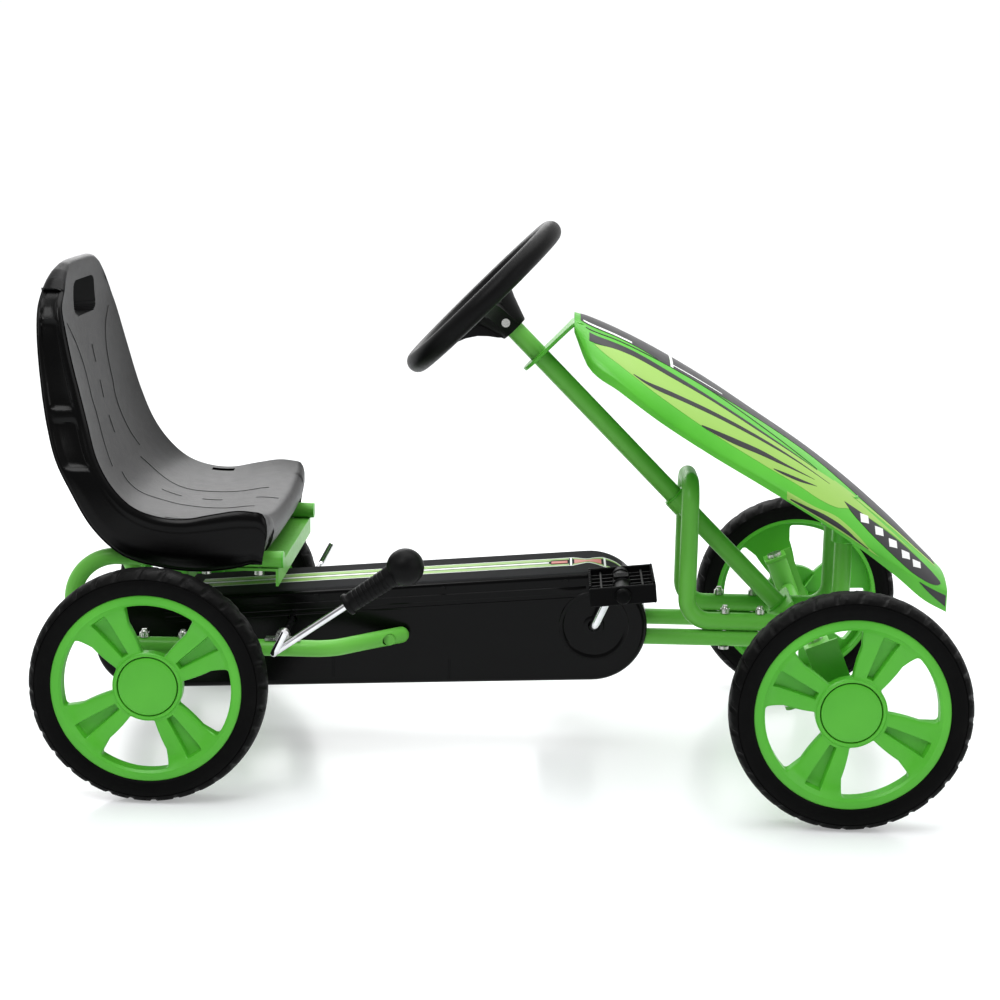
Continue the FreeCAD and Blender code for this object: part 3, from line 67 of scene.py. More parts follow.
class Shader:
    """A node material built by short calls: constants go on sockets, node outputs are linked."""

    def __init__(self, name, **surface):
        self.material = bpy.data.materials.new(name)
        self.material.use_nodes = True
        self.tree = self.material.node_tree
        self.tree.nodes.clear()
        output = self.tree.nodes.new("ShaderNodeOutputMaterial")
        self.surface = self.tree.nodes.new("ShaderNodeBsdfPrincipled")
        self.tree.links.new(self.surface.outputs[0], output.inputs[0])
        for socket, value in surface.items():
            self.feed(self.surface, socket.replace("_", " "), value)
        self.place = self.node("TexCoord").outputs["Object"]

    def feed(self, node, socket, value):
        target = node.inputs[socket]
        if isinstance(value, bpy.types.NodeSocket):
            self.tree.links.new(value, target)
        elif isinstance(value, tuple) and len(value) == 3 and target.type == "RGBA":
            target.default_value = (*value, 1)
        else:
            target.default_value = value

    def node(self, kind, inputs=None, **settings):
        made = self.tree.nodes.new("ShaderNode" + kind)
        for key, value in settings.items():
            setattr(made, key, value)
        for socket, value in (inputs or {}).items():
            self.feed(made, socket, value)
        return made

    def noise(self, scale, detail, rough=0.5):
        return self.node("TexNoise", {"Vector": self.place, "Scale": scale, "Detail": detail,
                                      "Roughness": rough}).outputs["Fac"]

    def spread(self, value, low, high, out_low=0.0, out_high=1.0):
        return self.node("MapRange", {"Value": value, "From Min": low, "From Max": high,
                                      "To Min": out_low, "To Max": out_high}).outputs[0]

    def mix(self, share, first, second):
        made = self.node("Mix", data_type="RGBA")
        for index, value in ((0, share), (6, first), (7, second)):
            self.feed(made, index, value)
        return made.outputs[2]

    def drift(self, noise, low, high, first, second):
        """A colour that wanders between two tones."""
        return self.mix(self.spread(self.noise(*noise), low, high), first, second)

    def gloss(self, noise, low, high):
        """A roughness that wanders between two values."""
        return self.spread(self.noise(*noise), 0.3, 0.7, low, high)

    def bump(self, height, distance, strength):
        return self.node("Bump", {"Height": height, "Distance": distance,
                                  "Strength": strength}).outputs[0]

    def set(self, **surface):
        for socket, value in surface.items():
            self.feed(self.surface, socket.replace("_", " "), value)
        return self.material


GREEN = (0.155, 0.475, 0.075)
GREEN_DEEP = (0.14, 0.45, 0.068)


def painted_green():
    """Powder coat over steel: fine orange peel, slight colour drift, a clear gloss."""
    s = Shader("green_paint", IOR=1.5, Specular_IOR_Level=0.32, Coat_Weight=0.08,
               Coat_Roughness=0.25)
    return s.set(Base_Color=s.drift((9.0, 2.0), 0.35, 0.65, GREEN_DEEP, GREEN),
                 Roughness=s.gloss((160.0, 4.0), 0.34, 0.42),
                 Normal=s.bump(s.noise(900.0, 2.0), 0.00012, 0.35))


def moulded_green():
    """Glossy moulded plastic with faint flow marks."""
    s = Shader("green_plastic", IOR=1.49, Specular_IOR_Level=0.5)
    tone = s.drift((14.0, 3.0), 0.3, 0.7, (0.086, 0.43, 0.03), (0.11, 0.49, 0.04))
    return s.set(Base_Color=tone, Roughness=s.gloss((220.0, 4.0), 0.3, 0.4),
                 Normal=s.bump(s.noise(1500.0, 2.0), 0.0001, 0.25))


def moulded_black(name, colour, gloss, grain_scale, grain_depth, shine=0.25):
    """Black plastic with a moulded grain and faint scuffs."""
    s = Shader(name, IOR=1.45, Specular_IOR_Level=shine)
    lift = tuple(c * 1.2 + 0.0005 for c in colour)
    tone = s.drift((18.0, 5.0, 0.65), 0.45, 0.75, colour, lift)
    rough = s.gloss((90.0, 5.0, 0.6), gloss - 0.01, gloss + 0.03)
    cells = s.node("TexVoronoi", {"Vector": s.place, "Scale": grain_scale}).outputs["Distance"]
    return s.set(Base_Color=tone, Roughness=rough, Normal=s.bump(cells, grain_depth, 0.5))


def guard_black():
    """Glossy black sides and a satin charcoal top, on one moulding."""
    s = Shader("guard_plastic", IOR=1.45)
    split = s.node("SeparateXYZ", {"Vector": s.node("TexCoord").outputs["Normal"]})
    up = s.spread(split.outputs[2], 0.72, 0.9)
    dust = s.spread(s.noise(30.0, 5.0, 0.6), 0.4, 0.75)
    side = s.mix(dust, (0.0012, 0.0012, 0.0013), (0.002, 0.002, 0.0022))
    top = s.mix(dust, (0.03, 0.03, 0.032), (0.036, 0.036, 0.038))
    rough = s.spread(up, 0.0, 1.0, 0.2, 0.75)
    shine = s.spread(up, 0.0, 1.0, 0.22, 0.03)
    grain = s.bump(s.noise(1400.0, 2.0), 0.0001, 0.2)
    return s.set(Base_Color=s.mix(up, side, top), Roughness=rough, Specular_IOR_Level=shine,
                 Normal=grain)


def plated(name, colour, rough_low, rough_high, scale):
    """Bright or zinc plated steel, with fine drawn lines and cloudy patches."""
    s = Shader(name, Metallic=1.0)
    tone = s.drift((60.0, 4.0), 0.35, 0.7, colour, tuple(c * 0.82 for c in colour))
    return s.set(Base_Color=tone, Roughness=s.gloss((scale, 4.0), rough_low, rough_high),
                 Normal=s.bump(s.noise(scale * 5, 2.0), 0.00006, 0.3))


def tyre_rubber():
    """Hard moulded tyre plastic: near black, dry, with dusty raised parts."""
    s = Shader("tyre_rubber", IOR=1.5, Specular_IOR_Level=0.1)
    tone = s.drift((35.0, 6.0, 0.7), 0.45, 0.8, (0.002, 0.002, 0.0021), (0.0045, 0.0044, 0.0042))
    return s.set(Base_Color=tone, Roughness=s.gloss((120.0, 4.0), 0.42, 0.58),
                 Normal=s.bump(s.noise(1300.0, 3.0), 0.0002, 0.4))


def printed(name, first, second):
    """Ink of a printed film, and for seat_line the near-black painted shade of the seat's grooves: two close
    tones, even gloss.
    """
    s = Shader(name, IOR=1.48, Specular_IOR_Level=0.45)
    return s.set(Base_Color=s.drift((9.0, 2.0), 0.3, 0.7, first, second),
                 Roughness=s.gloss((60.0, 2.0), 0.36, 0.42))


MATERIALS = {
    "green_paint": painted_green(),
    "green_plastic": moulded_green(),
    "guard_plastic": guard_black(),
    "seat_plastic": moulded_black("seat_plastic", (0.006, 0.006, 0.0065), 0.36, 900.0, 0.0003),
    "seat_side": moulded_black("seat_side", (0.0012, 0.0012, 0.0013), 0.22, 900.0, 0.0001),
    "black_plastic": moulded_black("black_plastic", (0.004, 0.004, 0.0042), 0.4, 1100.0,
                                   0.0002, 0.17),
    "tyre_rubber": tyre_rubber(),
    "zinc_steel": plated("zinc_steel", (0.62, 0.62, 0.6), 0.22, 0.4, 300.0),
    "chrome": plated("chrome", (0.82, 0.82, 0.84), 0.05, 0.16, 200.0),
    "dark_steel": plated("dark_steel", (0.16, 0.16, 0.165), 0.35, 0.55, 350.0),
    "bush_plastic": moulded_black("bush_plastic", (0.02, 0.02, 0.021), 0.45, 700.0, 0.0001),
    "pedal_plastic": moulded_black("pedal_plastic", (0.0025, 0.0025, 0.0027), 0.45, 1100.0,
                                   0.0002, 0.1),
    "print_stripe": printed("print_stripe", (0.2, 0.4, 0.035), (0.18, 0.37, 0.03)),
    "print_red": printed("print_red", (0.5, 0.08, 0.035), (0.46, 0.07, 0.03)),
    # seat_line is no ink: near-black painted shade standing for the shade in the seat's fine moulded grooves
    "seat_line": printed("seat_line", (0.002, 0.002, 0.002), (0.003, 0.003, 0.003)),
    "print_light": printed("print_light", (0.325, 0.535, 0.12), (0.305, 0.51, 0.112)),
    "print_dark": printed("print_dark", (0.03, 0.03, 0.033), (0.036, 0.036, 0.039)),
    "print_white": printed("print_white", (0.8, 0.81, 0.8), (0.78, 0.79, 0.78)),
}


# nodes whose visible finish differs from their slot's plain one
DRESSED = {"pedal_nuts": "pedal_plastic", "guard_screws": "guard_plastic",
           "side_tube_bolts": "green_paint", "column_bushes": "green_plastic"}


def dress_cad():
    """Give each CAD node the material of its slot in the record, or the one it is dressed in."""
    slots = {entry["node"]: entry["material_slot"] for entry in frame["record"]["subparts"]}
    for name, item in NODES.items():
        item.data.materials.clear()
        item.data.materials.append(MATERIALS[DRESSED.get(name, slots[name])])


# ---- mesh helpers

def follow(rows, at):
    """The values at one place on a smooth curve through rows of (place, value, ...)."""
    last = len(rows) - 1
    i = max(0, min(last - 1, sum(row[0] <= at for row in rows) - 1))
    before, first, second, after = (rows[max(0, min(last, k))] for k in (i - 1, i, i + 1, i + 2))
    span = second[0] - first[0]
    t = min(max((at - first[0]) / span, 0.0), 1.0)
    values = []
    for k in range(1, len(first)):
        leave = (second[k] - before[k]) / (second[0] - before[0]) * span
        arrive = (after[k] - first[k]) / (after[0] - first[0]) * span
        values.append(first[k] * (2 * t ** 3 - 3 * t ** 2 + 1) + leave * (t ** 3 - 2 * t ** 2 + t)
                      + second[k] * (3 * t ** 2 - 2 * t ** 3) + arrive * (t ** 3 - t ** 2))
    return values


def straight(rows, at):
    """One value on straight lines through rows of (place, value)."""
    if at <= rows[0][0]:
        return rows[0][1]
    for (x0, v0), (x1, v1) in zip(rows, rows[1:]):
        if at <= x1:
            return v0 + (v1 - v0) * (at - x0) / (x1 - x0)
    return rows[-1][1]


def spaced(start, stop, count):
    """Evenly spaced values, with both ends."""
    return [start + (stop - start) * i / count for i in range(count + 1)]


def turned(degrees, axis):
    """A turn about X, Y or Z."""
    return Matrix.Rotation(math.radians(degrees), 4, axis)


def polar(radius, degrees, height):
    """A point at a radius and an angle round Z."""
    turn = math.radians(degrees)
    return (radius * math.cos(turn), radius * math.sin(turn), height)


def ring(radius, height, count):
    """Evenly spread points round Z."""
    return [polar(radius, 360.0 * i / count, height) for i in range(count)]


class Form:
    """Points in millimetres and the faces between them, for one piece."""

    def __init__(self):
        self.points = []
        self.faces = []

    def grid(self, rows):
        """Quads between rows of points, each row closed on itself."""
        start, wide = len(self.points), len(rows[0])
        for row in rows:
            self.points.extend(row)
        for i in range(len(rows) - 1):
            for j in range(wide):
                k = (j + 1) % wide
                low, high = start + i * wide, start + (i + 1) * wide
                self.faces.append((low + j, low + k, high + k, high + j))
        return self

    def lathe(self, profile, steps):
        """Turn a closed half section of (radius, height) about Z."""
        return self.grid([ring(r, z, steps) for r, z in profile + profile[:1]])

    def lid(self, outline):
        """One flat face."""
        start = len(self.points)
        self.points.extend(outline)
        self.faces.append(tuple(range(start, start + len(outline))))
        return self

    def loft(self, sections):
        """A solid through closed sections, with a flat lid on each end."""
        self.grid(sections)
        return self.lid(sections[0]).lid(sections[-1])

    def skins(self, front, back, gone=None, loop=False):
        """A solid between two grids, without the cells that gone(row, column) names."""
        rows, wide = len(front), len(front[0])
        columns = wide if loop else wide - 1
        start, layer = len(self.points), rows * wide
        for row in front + back:
            self.points.extend(row)

        def kept(i, j):
            j = j % columns if loop else j
            return 0 <= i < rows - 1 and 0 <= j < columns and not (gone and gone(i, j))

        for i in range(rows - 1):
            for j in range(columns):
                if not kept(i, j):
                    continue
                k = (j + 1) % wide
                a, b = start + i * wide + j, start + i * wide + k
                d, c = a + wide, b + wide
                self.faces.append((a, b, c, d))
                self.faces.append((d + layer, c + layer, b + layer, a + layer))
                for beside, p, q in (((i - 1, j), b, a), ((i + 1, j), d, c),
                                     ((i, j - 1), a, d), ((i, j + 1), c, b)):
                    if not kept(*beside):
                        self.faces.append((p, q, q + layer, p + layer))
        return self

    def add(self, other, place):
        """Take over another form, moved to its place."""
        count = len(self.points)
        self.points.extend(place @ Vector(point) for point in other.points)
        self.faces.extend(tuple(k + count for k in face) for face in other.faces)

    def mesh(self, name, material, angle):
        """The finished mesh in metres, smooth but for edges sharper than the angle."""
        mesh = bpy.data.meshes.new(name)
        mesh.from_pydata([Vector(p) * MM for p in self.points], [], self.faces)
        grown = bmesh.new()
        grown.from_mesh(mesh)
        bmesh.ops.remove_doubles(grown, verts=grown.verts, dist=0.000004)
        bmesh.ops.dissolve_degenerate(grown, edges=grown.edges, dist=0.000002)
        bmesh.ops.recalc_face_normals(grown, faces=grown.faces)
        grown.to_mesh(mesh)
        grown.free()
        mesh.shade_smooth()
        mesh.set_sharp_from_angle(angle=math.radians(angle))
        mesh.materials.append(MATERIALS[material])
        return mesh


def placed(name, mesh, body, stands_for, at=None):
    """An object on its body and the nodes it replaces; a turn goes into its mesh."""
    if at is not None:
        mesh = mesh.copy()
        mesh.transform(at.to_quaternion().to_matrix().to_4x4())
    item = bpy.data.objects.new(name, mesh)
    bpy.context.scene.collection.objects.link(item)
    if at is not None:
        item.matrix_world = Matrix.Translation(at.translation)
    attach(item, body)
    if stands_for:
        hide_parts(*stands_for)


def middle(node):
    """The centre of a CAD node's box."""
    low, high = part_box(node)
    return (low + high) / 2


def joint(name):
    """A joint of the record."""
    return next(entry for entry in frame["joints"] if entry["name"] == name)


def joint_place(name):
    """Where a joint sits, in millimetres."""
    return Vector(joint(name)["pos_m"]) * 1000


def facing(spot, along, side=(0, 1, 0)):
    """A place in metres with Z along a direction and Y along a side."""
    side = Vector(side)
    turn = Matrix((side.cross(along), side, along)).transposed()
    return Matrix.Translation(spot) @ turn.to_4x4()


# ---- wheels
# Drawn flat: the axle along Z, the middle plane at z = 0 and the face up.

ARMS = 4
WINDOW_LOW, WINDOW_TOP = 38.4, 92.5
CHANNEL_LOW, CHANNEL_TOP = 41.0, 90.3
CHANNEL_HALF = 6.3
CHANNEL_DEPTH = 7.5
FACE = [(33, 7.5), (33.8, 9.9), (36.6, 10), (38.3, 8.4), (45, 8.6), (60, 9.4), (75, 10.4),
        (84, 11.8), (89, 14.2), (93, 17.0), (95.2, 18.8), (96.4, 19), (102.6, 19),
        (103.8, 18.7), (104.3, 18)]
RIM_ROWS = [33, 33.8, 36.6, 37.9, 38.4, 39.0, 40.2, 41, 41.5, 43, 47, 53, 60, 67, 73, 79, 84,
            87, 88.6, 89.9, 90.3, 91.2, 92.1, 92.5, 93.4, 95.2, 96.4, 102.6, 103.8, 104.3]
# under the lip the back skin goes round the barrel: (radius, height) at a face radius
UNDER_LIP = {95.2: (99.3, 1.6), 96.4: (99.3, -4), 102.6: (99.3, -18), 103.8: (100, -19),
             104.3: (104.3, -19)}


def window_half(r):
    """Half the window's width in degrees at a radius in it, with its corners rounded."""
    half = straight([(WINDOW_LOW, 19.6), (73, 25.6), (WINDOW_TOP, 24.1)], r)
    corner = 0.0
    for reach, edge in ((3.4, WINDOW_TOP - r), (2.2, r - WINDOW_LOW)):
        inside = max(reach - edge, 0.0)
        corner = max(corner, reach - math.sqrt(reach ** 2 - inside ** 2))
    return half - math.degrees(corner / r)


def half_sector(r):
    """(angle, drop in face height, in the channel) from an arm's middle to a window's."""
    arm = 45 - window_half(min(max(r, WINDOW_LOW), WINDOW_TOP))
    unit = math.degrees(1 / r)
    edged = WINDOW_LOW < r < WINDOW_TOP
    columns = [(0, 0, 1), (CHANNEL_HALF * 0.5, 0, 1), (CHANNEL_HALF - 1.7 * unit, 0, 1),
               (CHANNEL_HALF - 0.5 * unit, 0.5, 0), (CHANNEL_HALF, 0.12, 0)]
    start, end = CHANNEL_HALF + 0.6 * unit, arm - 2.6 * unit
    columns += [(start + (end - start) * share, 0, 0) for share in (0, 0.35, 0.7, 1)]
    columns += [(arm - inward * unit, drop * edged, 0)
                for inward, drop in ((1.2, 0.3), (0.4, 0.9), (0, 1.8))]
    return columns + [(arm + (45 - arm) * share, 0, 0) for share in (0.2, 0.4, 0.6, 0.8)]


def rim_mesh():
    """Dished rim: four channelled double arms, cap ring, lip, barrel and hub."""
    front, back = [], []
    for r in RIM_ROWS:
        z = follow(FACE, r)[0]
        half = half_sector(r)
        sector = [(-a, drop, deep) for a, drop, deep in reversed(half[1:])] + half + [(45, 0, 0)]
        fade = max(0, min(1, (r - CHANNEL_LOW) / 1.6, (CHANNEL_TOP - r) / 1.6))
        far, low = UNDER_LIP.get(r, (r, -3 + max(r - 38, 0) / 61.3 * 5))
        top_row, under_row = [], []
        for arm in range(ARMS):
            for angle, drop, deep in sector:
                at_edge = abs(angle) > CHANNEL_HALF + 1
                sunk = drop if at_edge else (CHANNEL_DEPTH if deep else drop) * fade
                top_row.append(polar(r, angle + 90 * arm, z - sunk))
                under_row.append(polar(far, angle + 90 * arm, low))
        front.append(top_row)
        back.append(under_row)
    columns = len(half)
    first_open, last_open = RIM_ROWS.index(WINDOW_LOW), RIM_ROWS.index(WINDOW_TOP)
    edge = columns - 5

    def window(i, j):
        column = j % (2 * columns) - (columns - 1)
        return first_open <= i < last_open and (column >= edge or column < -edge)

    form = Form().skins(front, back, window, loop=True)
    form.lathe([(6.1, -19), (16.4, -19), (17, -18.4), (17, -3.4), (33.5, -2.9), (33.5, 0.7),
                (7.4, 1), (6.1, 0.2)], 64)
    for i in range(2 * ARMS):
        turn = turned(45 * i + 22.5, "Z")
        form.loft([[turn @ Vector(p) for p in ((r, -1.3, -2.6), (r, 1.3, -2.6), (r, 1.0, low),
                                               (r, -1.0, low))]
                   for r, low in ((16, -17), (24, -12), (36.5, -6.5))])
    return form.mesh("rim", "green_plastic", 28)


TREAD_PITCHES = 32
TREAD_STEPS = 16
TREAD_HALF = [(130, 1.6), (129.9, 5), (129.6, 8.6), (129.0, 12), (127.7, 15.4), (125.9, 18.2),
              (124.2, 19.7), (122.3, 20.9), (121.5, 21.2), (121.1, 20.6), (120.6, 21.6),
              (118, 22.3), (114, 22.1), (108.5, 21.2), (105.2, 20.4), (104.3, 19.6)]


def tyre_mesh():
    """Solid tyre: crowned tread with slanted side grooves, a fine line and plain walls."""
    count = TREAD_PITCHES * TREAD_STEPS
    groove = {6: 0.55, 7: 1.0, 8: 1.0, 9: 0.55}
    nub = {2: 0.7, 3: 1.0, 4: 0.7}
    rows = []
    for side in (-1, 1):
        for r, z in TREAD_HALF[::side]:
            depth = 2.3 * straight([(6, 0), (8.6, 0.7), (12, 1), (18.2, 1), (19.7, 0.7),
                                    (20.9, 0)], z) * (r > 121.6)
            raised = 0.75 if z in (18.2, 20.9) else 0.0
            slant = 2.4 * straight([(1.6, 0), (20.9, 1)], z) * side
            row = []
            for j in range(count):
                step = (j + (TREAD_STEPS // 2 if side == 1 else 0)) % TREAD_STEPS
                cut = groove.get(step, 0.0) * depth
                lift = nub.get((step + (2 if z == 18.2 else 0)) % TREAD_STEPS, 0.0) * raised
                crown = 1.1 if r == 130 and step in (0, 1) else 0.0
                reach = min(r - cut - crown + lift * 0.6, 130)
                row.append(polar(reach, 360.0 * j / count + slant, side * (z + lift * 0.6)))
            rows.append(row)
    return Form().grid(rows + rows[:1]).mesh("tyre", "tyre_rubber", 30)


def cap_mesh():
    """Flat round cap with a softly rounded edge."""
    return Form().lathe([(0, 10.2), (14, 10.18), (26, 10.05), (30.4, 9.85), (31.8, 9.5),
                         (32.3, 8.9), (32.4, 8.1), (31.7, 7.7), (31.7, 3), (29.8, 3),
                         (29.8, 8), (0, 8)], 96).mesh("hub_cap", "green_plastic", 30)


def wheels():
    """Four wheels from three shared meshes, each turned as it stands."""
    rim, tyre, cap = rim_mesh(), tyre_mesh(), cap_mesh()
    for corner, side, phase in (("front_right", -1, 65), ("front_left", 1, 27),
                                ("rear_right", -1, 35), ("rear_left", 1, 50)):
        end, hand = corner.split("_")
        body = "rear_axle" if corner == "rear_left" else "%s_wheel_%s" % (end, hand)
        at = (Matrix.Translation(middle("%s_tyre_%s" % (end, hand)))
              @ turned(-90 * side, "X") @ turned(-phase * side, "Z"))
        for mesh, part, slot in ((rim, "rim", "green_plastic"), (tyre, "tyre", "tyre_rubber"),
                                 (cap, "hub_cap", "green_plastic")):
            node = "%s_%s_%s" % (end, part, hand)
            placed("%s_%s_shape" % (corner, part), mesh, body, (node,), at)


# ---- steering wheel

def steering_frame():
    """Origin at the ring's centre with Z up the column, towards the driver."""
    axis = Vector(joint("steering_turn")["axis"]).normalized()
    if axis.z < 0:
        axis = -axis
    low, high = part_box("steering_wheel")
    reach = (high.x - low.x) / 2
    return facing(Vector((low.x + reach, 0, high.z - reach)), axis)


RING_R, RING_TUBE = 106.5, 12.5


def steering_wheel():
    """Round grip ring with a moulding line, three webbed spokes, a hub cone and a pad."""
    form = Form()
    line_depth = {10: 0.35, 11: 0.9, 12: 0.35}
    section = [polar(RING_TUBE - line_depth.get(i, 0), 9 * i, 0) for i in range(40)]
    form.lathe([(RING_R + x, y) for x, y, _ in section], 120)
    for turn in (90, 180, 270):
        spin = turned(turn, "Z")
        sections = []
        for r, half, top, low in ((18, 19, -1.5, -22), (30, 17, -1.2, -19), (44, 14, -1.5, -16),
                                  (60, 11.5, -2.4, -12.5), (78, 11, -3.2, -11),
                                  (92, 13.5, -3.4, -10.5), (102, 17.5, -3, -9)):
            right = [(0.72, top), (0.94, top - 1.6), (1, (top + low) / 2), (0.7, low + 1.2),
                     (0.4, low)]
            outline = right + [(-share, z) for share, z in reversed(right)]
            sections.append([spin @ Vector((r, half * share, z)) for share, z in outline])
        form.loft(sections)
        form.loft([[spin @ Vector((r, y, z)) for y, z in ((-9, low), (9, low), (11, -9), (-11, -9))]
                   for r, low in ((14, -51), (20, -45), (27, -36), (36, -27), (48, -19.5),
                                  (64, -13.5))])
    form.lathe([(11.1, -51.6), (16.2, -51.6), (17, -50.8), (20.5, -40), (26, -24), (31.5, -11),
                (33, -8.4), (33, -3), (11.1, -3)], 72)
    form.lathe([(0, 3.2), (14, 2.9), (26, 1.6), (32, -0.4), (35.4, -3.4), (36, -6.4),
                (34.6, -8.6), (0, -8.6)], 84)
    placed("steering_wheel_shape", form.mesh("steering_wheel", "black_plastic", 32), "steering",
           ("steering_wheel",), steering_frame())


# ---- front panel

# forward place, crown height, lower edge height, half width, side depth
PANEL = [(77, 521, 502, 42, 6), (94, 516, 466, 77, 10), (128, 502, 443, 98, 10),
         (175, 479, 411, 114, 7), (230, 448, 378, 124, 6), (290, 410, 344, 127, 8),
         (350, 371, 308, 121, 8), (400, 334, 275, 108, 8), (450, 292, 237, 90, 12),
         (485, 259, 207, 73, 20), (517.5, 228, 187, 51, 24)]
NOSE, TAIL = PANEL[-1][0], PANEL[0][0]
LEG_X, LEG_SIDE = 394, 50  # the two legs that carry the panel


def on_panel(x, c, skin=0.0):
    """A point of the panel: c runs from -1 to 1 across the crown, and on down the sides."""
    crown, edge, half, depth = follow(PANEL, x)
    shoulder = edge + depth - skin * 0.8
    crown -= skin * 1.2
    half -= skin
    round_off = 2.0 - math.sqrt(4.0 - min(max(x - NOSE + 2, 0), 2) ** 2)
    half -= round_off
    crown -= round_off
    if abs(c) <= 1:
        rise = (1 - abs(c) ** 2.3) ** 0.8
        return Vector((x, half * c, shoulder + (crown - shoulder) * rise))
    return Vector((x, math.copysign(half, c), shoulder - (abs(c) - 1) * 100))


def above_panel(x, c, lift):
    """A point lifted off the panel along its normal."""
    here = on_panel(x, c)
    step = 0.004 if abs(c) < 0.996 or abs(c) > 1.004 else 0.01
    along = on_panel(min(x + 1, NOSE), c) - on_panel(max(x - 1, TAIL), c)
    across = on_panel(x, c + step) - on_panel(x, c - step)
    normal = along.cross(across).normalized()
    if normal.dot(Vector((0, c, 1.0 if abs(c) < 1 else 0.0))) < 0:
        normal = -normal
    return here + normal * lift


TAB_HALF = [(0, 24.4), (26, 25), (44, 29), (54, 34), (61, 38), (65, 39)]


def panel_tab():
    """Both skins of the tab: round at the column, straight up, then bent under the crown."""
    def ahead(turn):
        return Vector((math.cos(math.radians(turn)), 0, math.sin(math.radians(turn))))

    climb = 45.0
    path = [(s, Vector((37.6, 0, 470.8)) + ahead(climb) * s, climb)
            for s in (-24, -23.3, -21, -17, -11, -4, 4, 14, 26, 36, 44, 50, 54)]
    spot = path[-1][1]
    for i in range(1, 8):
        climb -= 9.4
        spot = spot + ahead(climb) * 1.55
        path.append((54 + i, spot, climb))
    for i in range(1, 4):
        spot = spot + ahead(climb) * 4
        path.append((61 + i, spot - Vector((0, 0, 0.8 * i)), climb))
    upper, under = [], []
    for s, spot, climb in path:
        half = follow(TAB_HALF, s)[0] if s >= 0 else math.sqrt(24.0 ** 2 - s ** 2) + 0.4
        edge = [(share, spot + Vector((0, half * share, 0)),
                 ahead(climb + 90) * straight([(0.6, 2), (0.96, 1.9), (1, 1.2)], abs(share)))
                for share in (-1, -0.96, -0.6, -0.2, 0.2, 0.6, 0.96, 1)]
        upper.append([place + thick for _, place, thick in edge])
        under.append([place - thick for _, place, thick in edge])
    return upper, under


def front_panel():
    """Crowned shell with closed ends, a folded tab round the column and two leg sockets."""
    places = ([TAIL, 78, 80, 83, 87, 92] + list(range(98, 510, 6))
              + [511, 514, 515.7, 516.6, 517.1, NOSE])
    across = [math.sin(math.radians(5 * i)) for i in range(-18, 19)]

    def line(x, short, skin):
        """One section, with its sides folded down to a little short of the edge."""
        hem = [1 + (follow(PANEL, x)[3] - short) / 100 * share for share in (0.3, 0.6, 0.85, 1)]
        return [on_panel(x, c, skin) for c in [-c for c in reversed(hem)] + across + hem]

    front = [line(x, 0, 0) for x in places]
    back = [line(min(max(x, TAIL + 3), NOSE - 3), 2.4, 3.0) for x in places]
    for skin in (front, back):
        for row, at in ((skin[0], 0), (skin[-1], len(skin) + 1)):
            low = row[0].z
            skin.insert(at, [Vector((p.x, p.y, low)) for p in row])
    form = Form().skins(front, back)
    form.skins(*panel_tab())
    for side in (-1, 1):
        form.add(Form().lathe([(10.6, 268), (13.2, 268), (14, 268.8), (14, 322), (10.6, 322)],
                              40), Matrix.Translation((LEG_X, side * LEG_SIDE, 0)))
    placed("front_panel_shape", form.mesh("front_panel", "green_plastic", 32), "chassis",
           ("front_panel",))


# Printed marks: rows of (forward place, upper edge, lower edge) across the panel
LIGHT_FIELD = [(100, -0.79, -0.8), (118, -0.71, -0.85), (147, -0.63, -0.875),
               (190, -0.6, -0.89), (235, -0.575, -0.905), (293, -0.575, -0.915),
               (330, -0.57, -0.905), (357, -0.565, -0.905), (378, -0.54, -0.87),
               (391, -0.555, -0.8), (405, -0.575, -0.74), (425, -0.6, -0.7),
               (450, -0.62, -0.665), (480, -0.65, -0.655)]
UPPER_FLASH = [(94, -0.66, -0.8), (118, -0.6, -0.71), (147, -0.54, -0.63),
               (190, -0.53, -0.6), (235, -0.53, -0.575), (293, -0.54, -0.575),
               (357, -0.568, -0.572)]
HAIRLINE = [(90, -0.592, -0.608), (118, -0.512, -0.528), (147, -0.452, -0.468),
            (190, -0.402, -0.418), (235, -0.382, -0.398), (293, -0.433, -0.447),
            (357, -0.548, -0.552)]
LONG_FLASH = [(144, -0.855, -0.862), (158, -0.838, -0.862), (175, -0.8, -0.842),
              (190, -0.772, -0.815), (233, -0.708, -0.752), (292, -0.652, -0.69),
              (330, -0.64, -0.66), (371, -0.649, -0.651)]
LOW_FLASH = [(221, -0.895, -0.903), (236, -0.872, -0.902), (262, -0.838, -0.885),
             (291, -0.8, -0.845), (321, -0.778, -0.8), (352, -0.739, -0.741)]
TAIL_FLASH = [(303, -0.895, -0.9), (314, -0.875, -0.895), (335, -0.838, -0.862),
              (354, -0.799, -0.801)]
LAMP = [(388, -0.742, -0.75), (396, -0.735, -0.81), (406, -0.725, -0.85), (420, -0.715, -0.89),
        (436, -0.7, -0.92), (452, -0.69, -0.95), (468, -0.69, -0.975), (484, -0.71, -0.985),
        (496, -0.76, -0.985), (504, -0.83, -0.965), (508, -0.88, -0.92)]
RIDGE = [(84, -0.5, 0.5), (147, -0.4, 0.4), (188, -0.42, 0.42), (248, -0.36, 0.36),
         (300, -0.3, 0.3), (356, -0.33, 0.33), (416, -0.46, 0.46), (465, -0.46, 0.46),
         (505, -0.4, 0.4)]
NOSE_LIGHT = [(378, -0.52, -0.56), (416, -0.5, -0.56), (465, -0.47, -0.53),
              (505, -0.42, -0.5)]
BLISTER = [(318, -0.99, -1.06), (350, -0.98, -1.05), (381, -0.95, -1.04), (428, -1.03, -1.031)]
BLISTER_FLASH = [(322, -1.03, -1.045), (345, -1.0, -1.04), (381, -0.985, -1.02),
                 (415, -1.02, -1.03)]
NOSE_PATCH = [(480, -1.02, -1.03), (492, -1.03, -1.09), (515, -1.05, -1.18)]


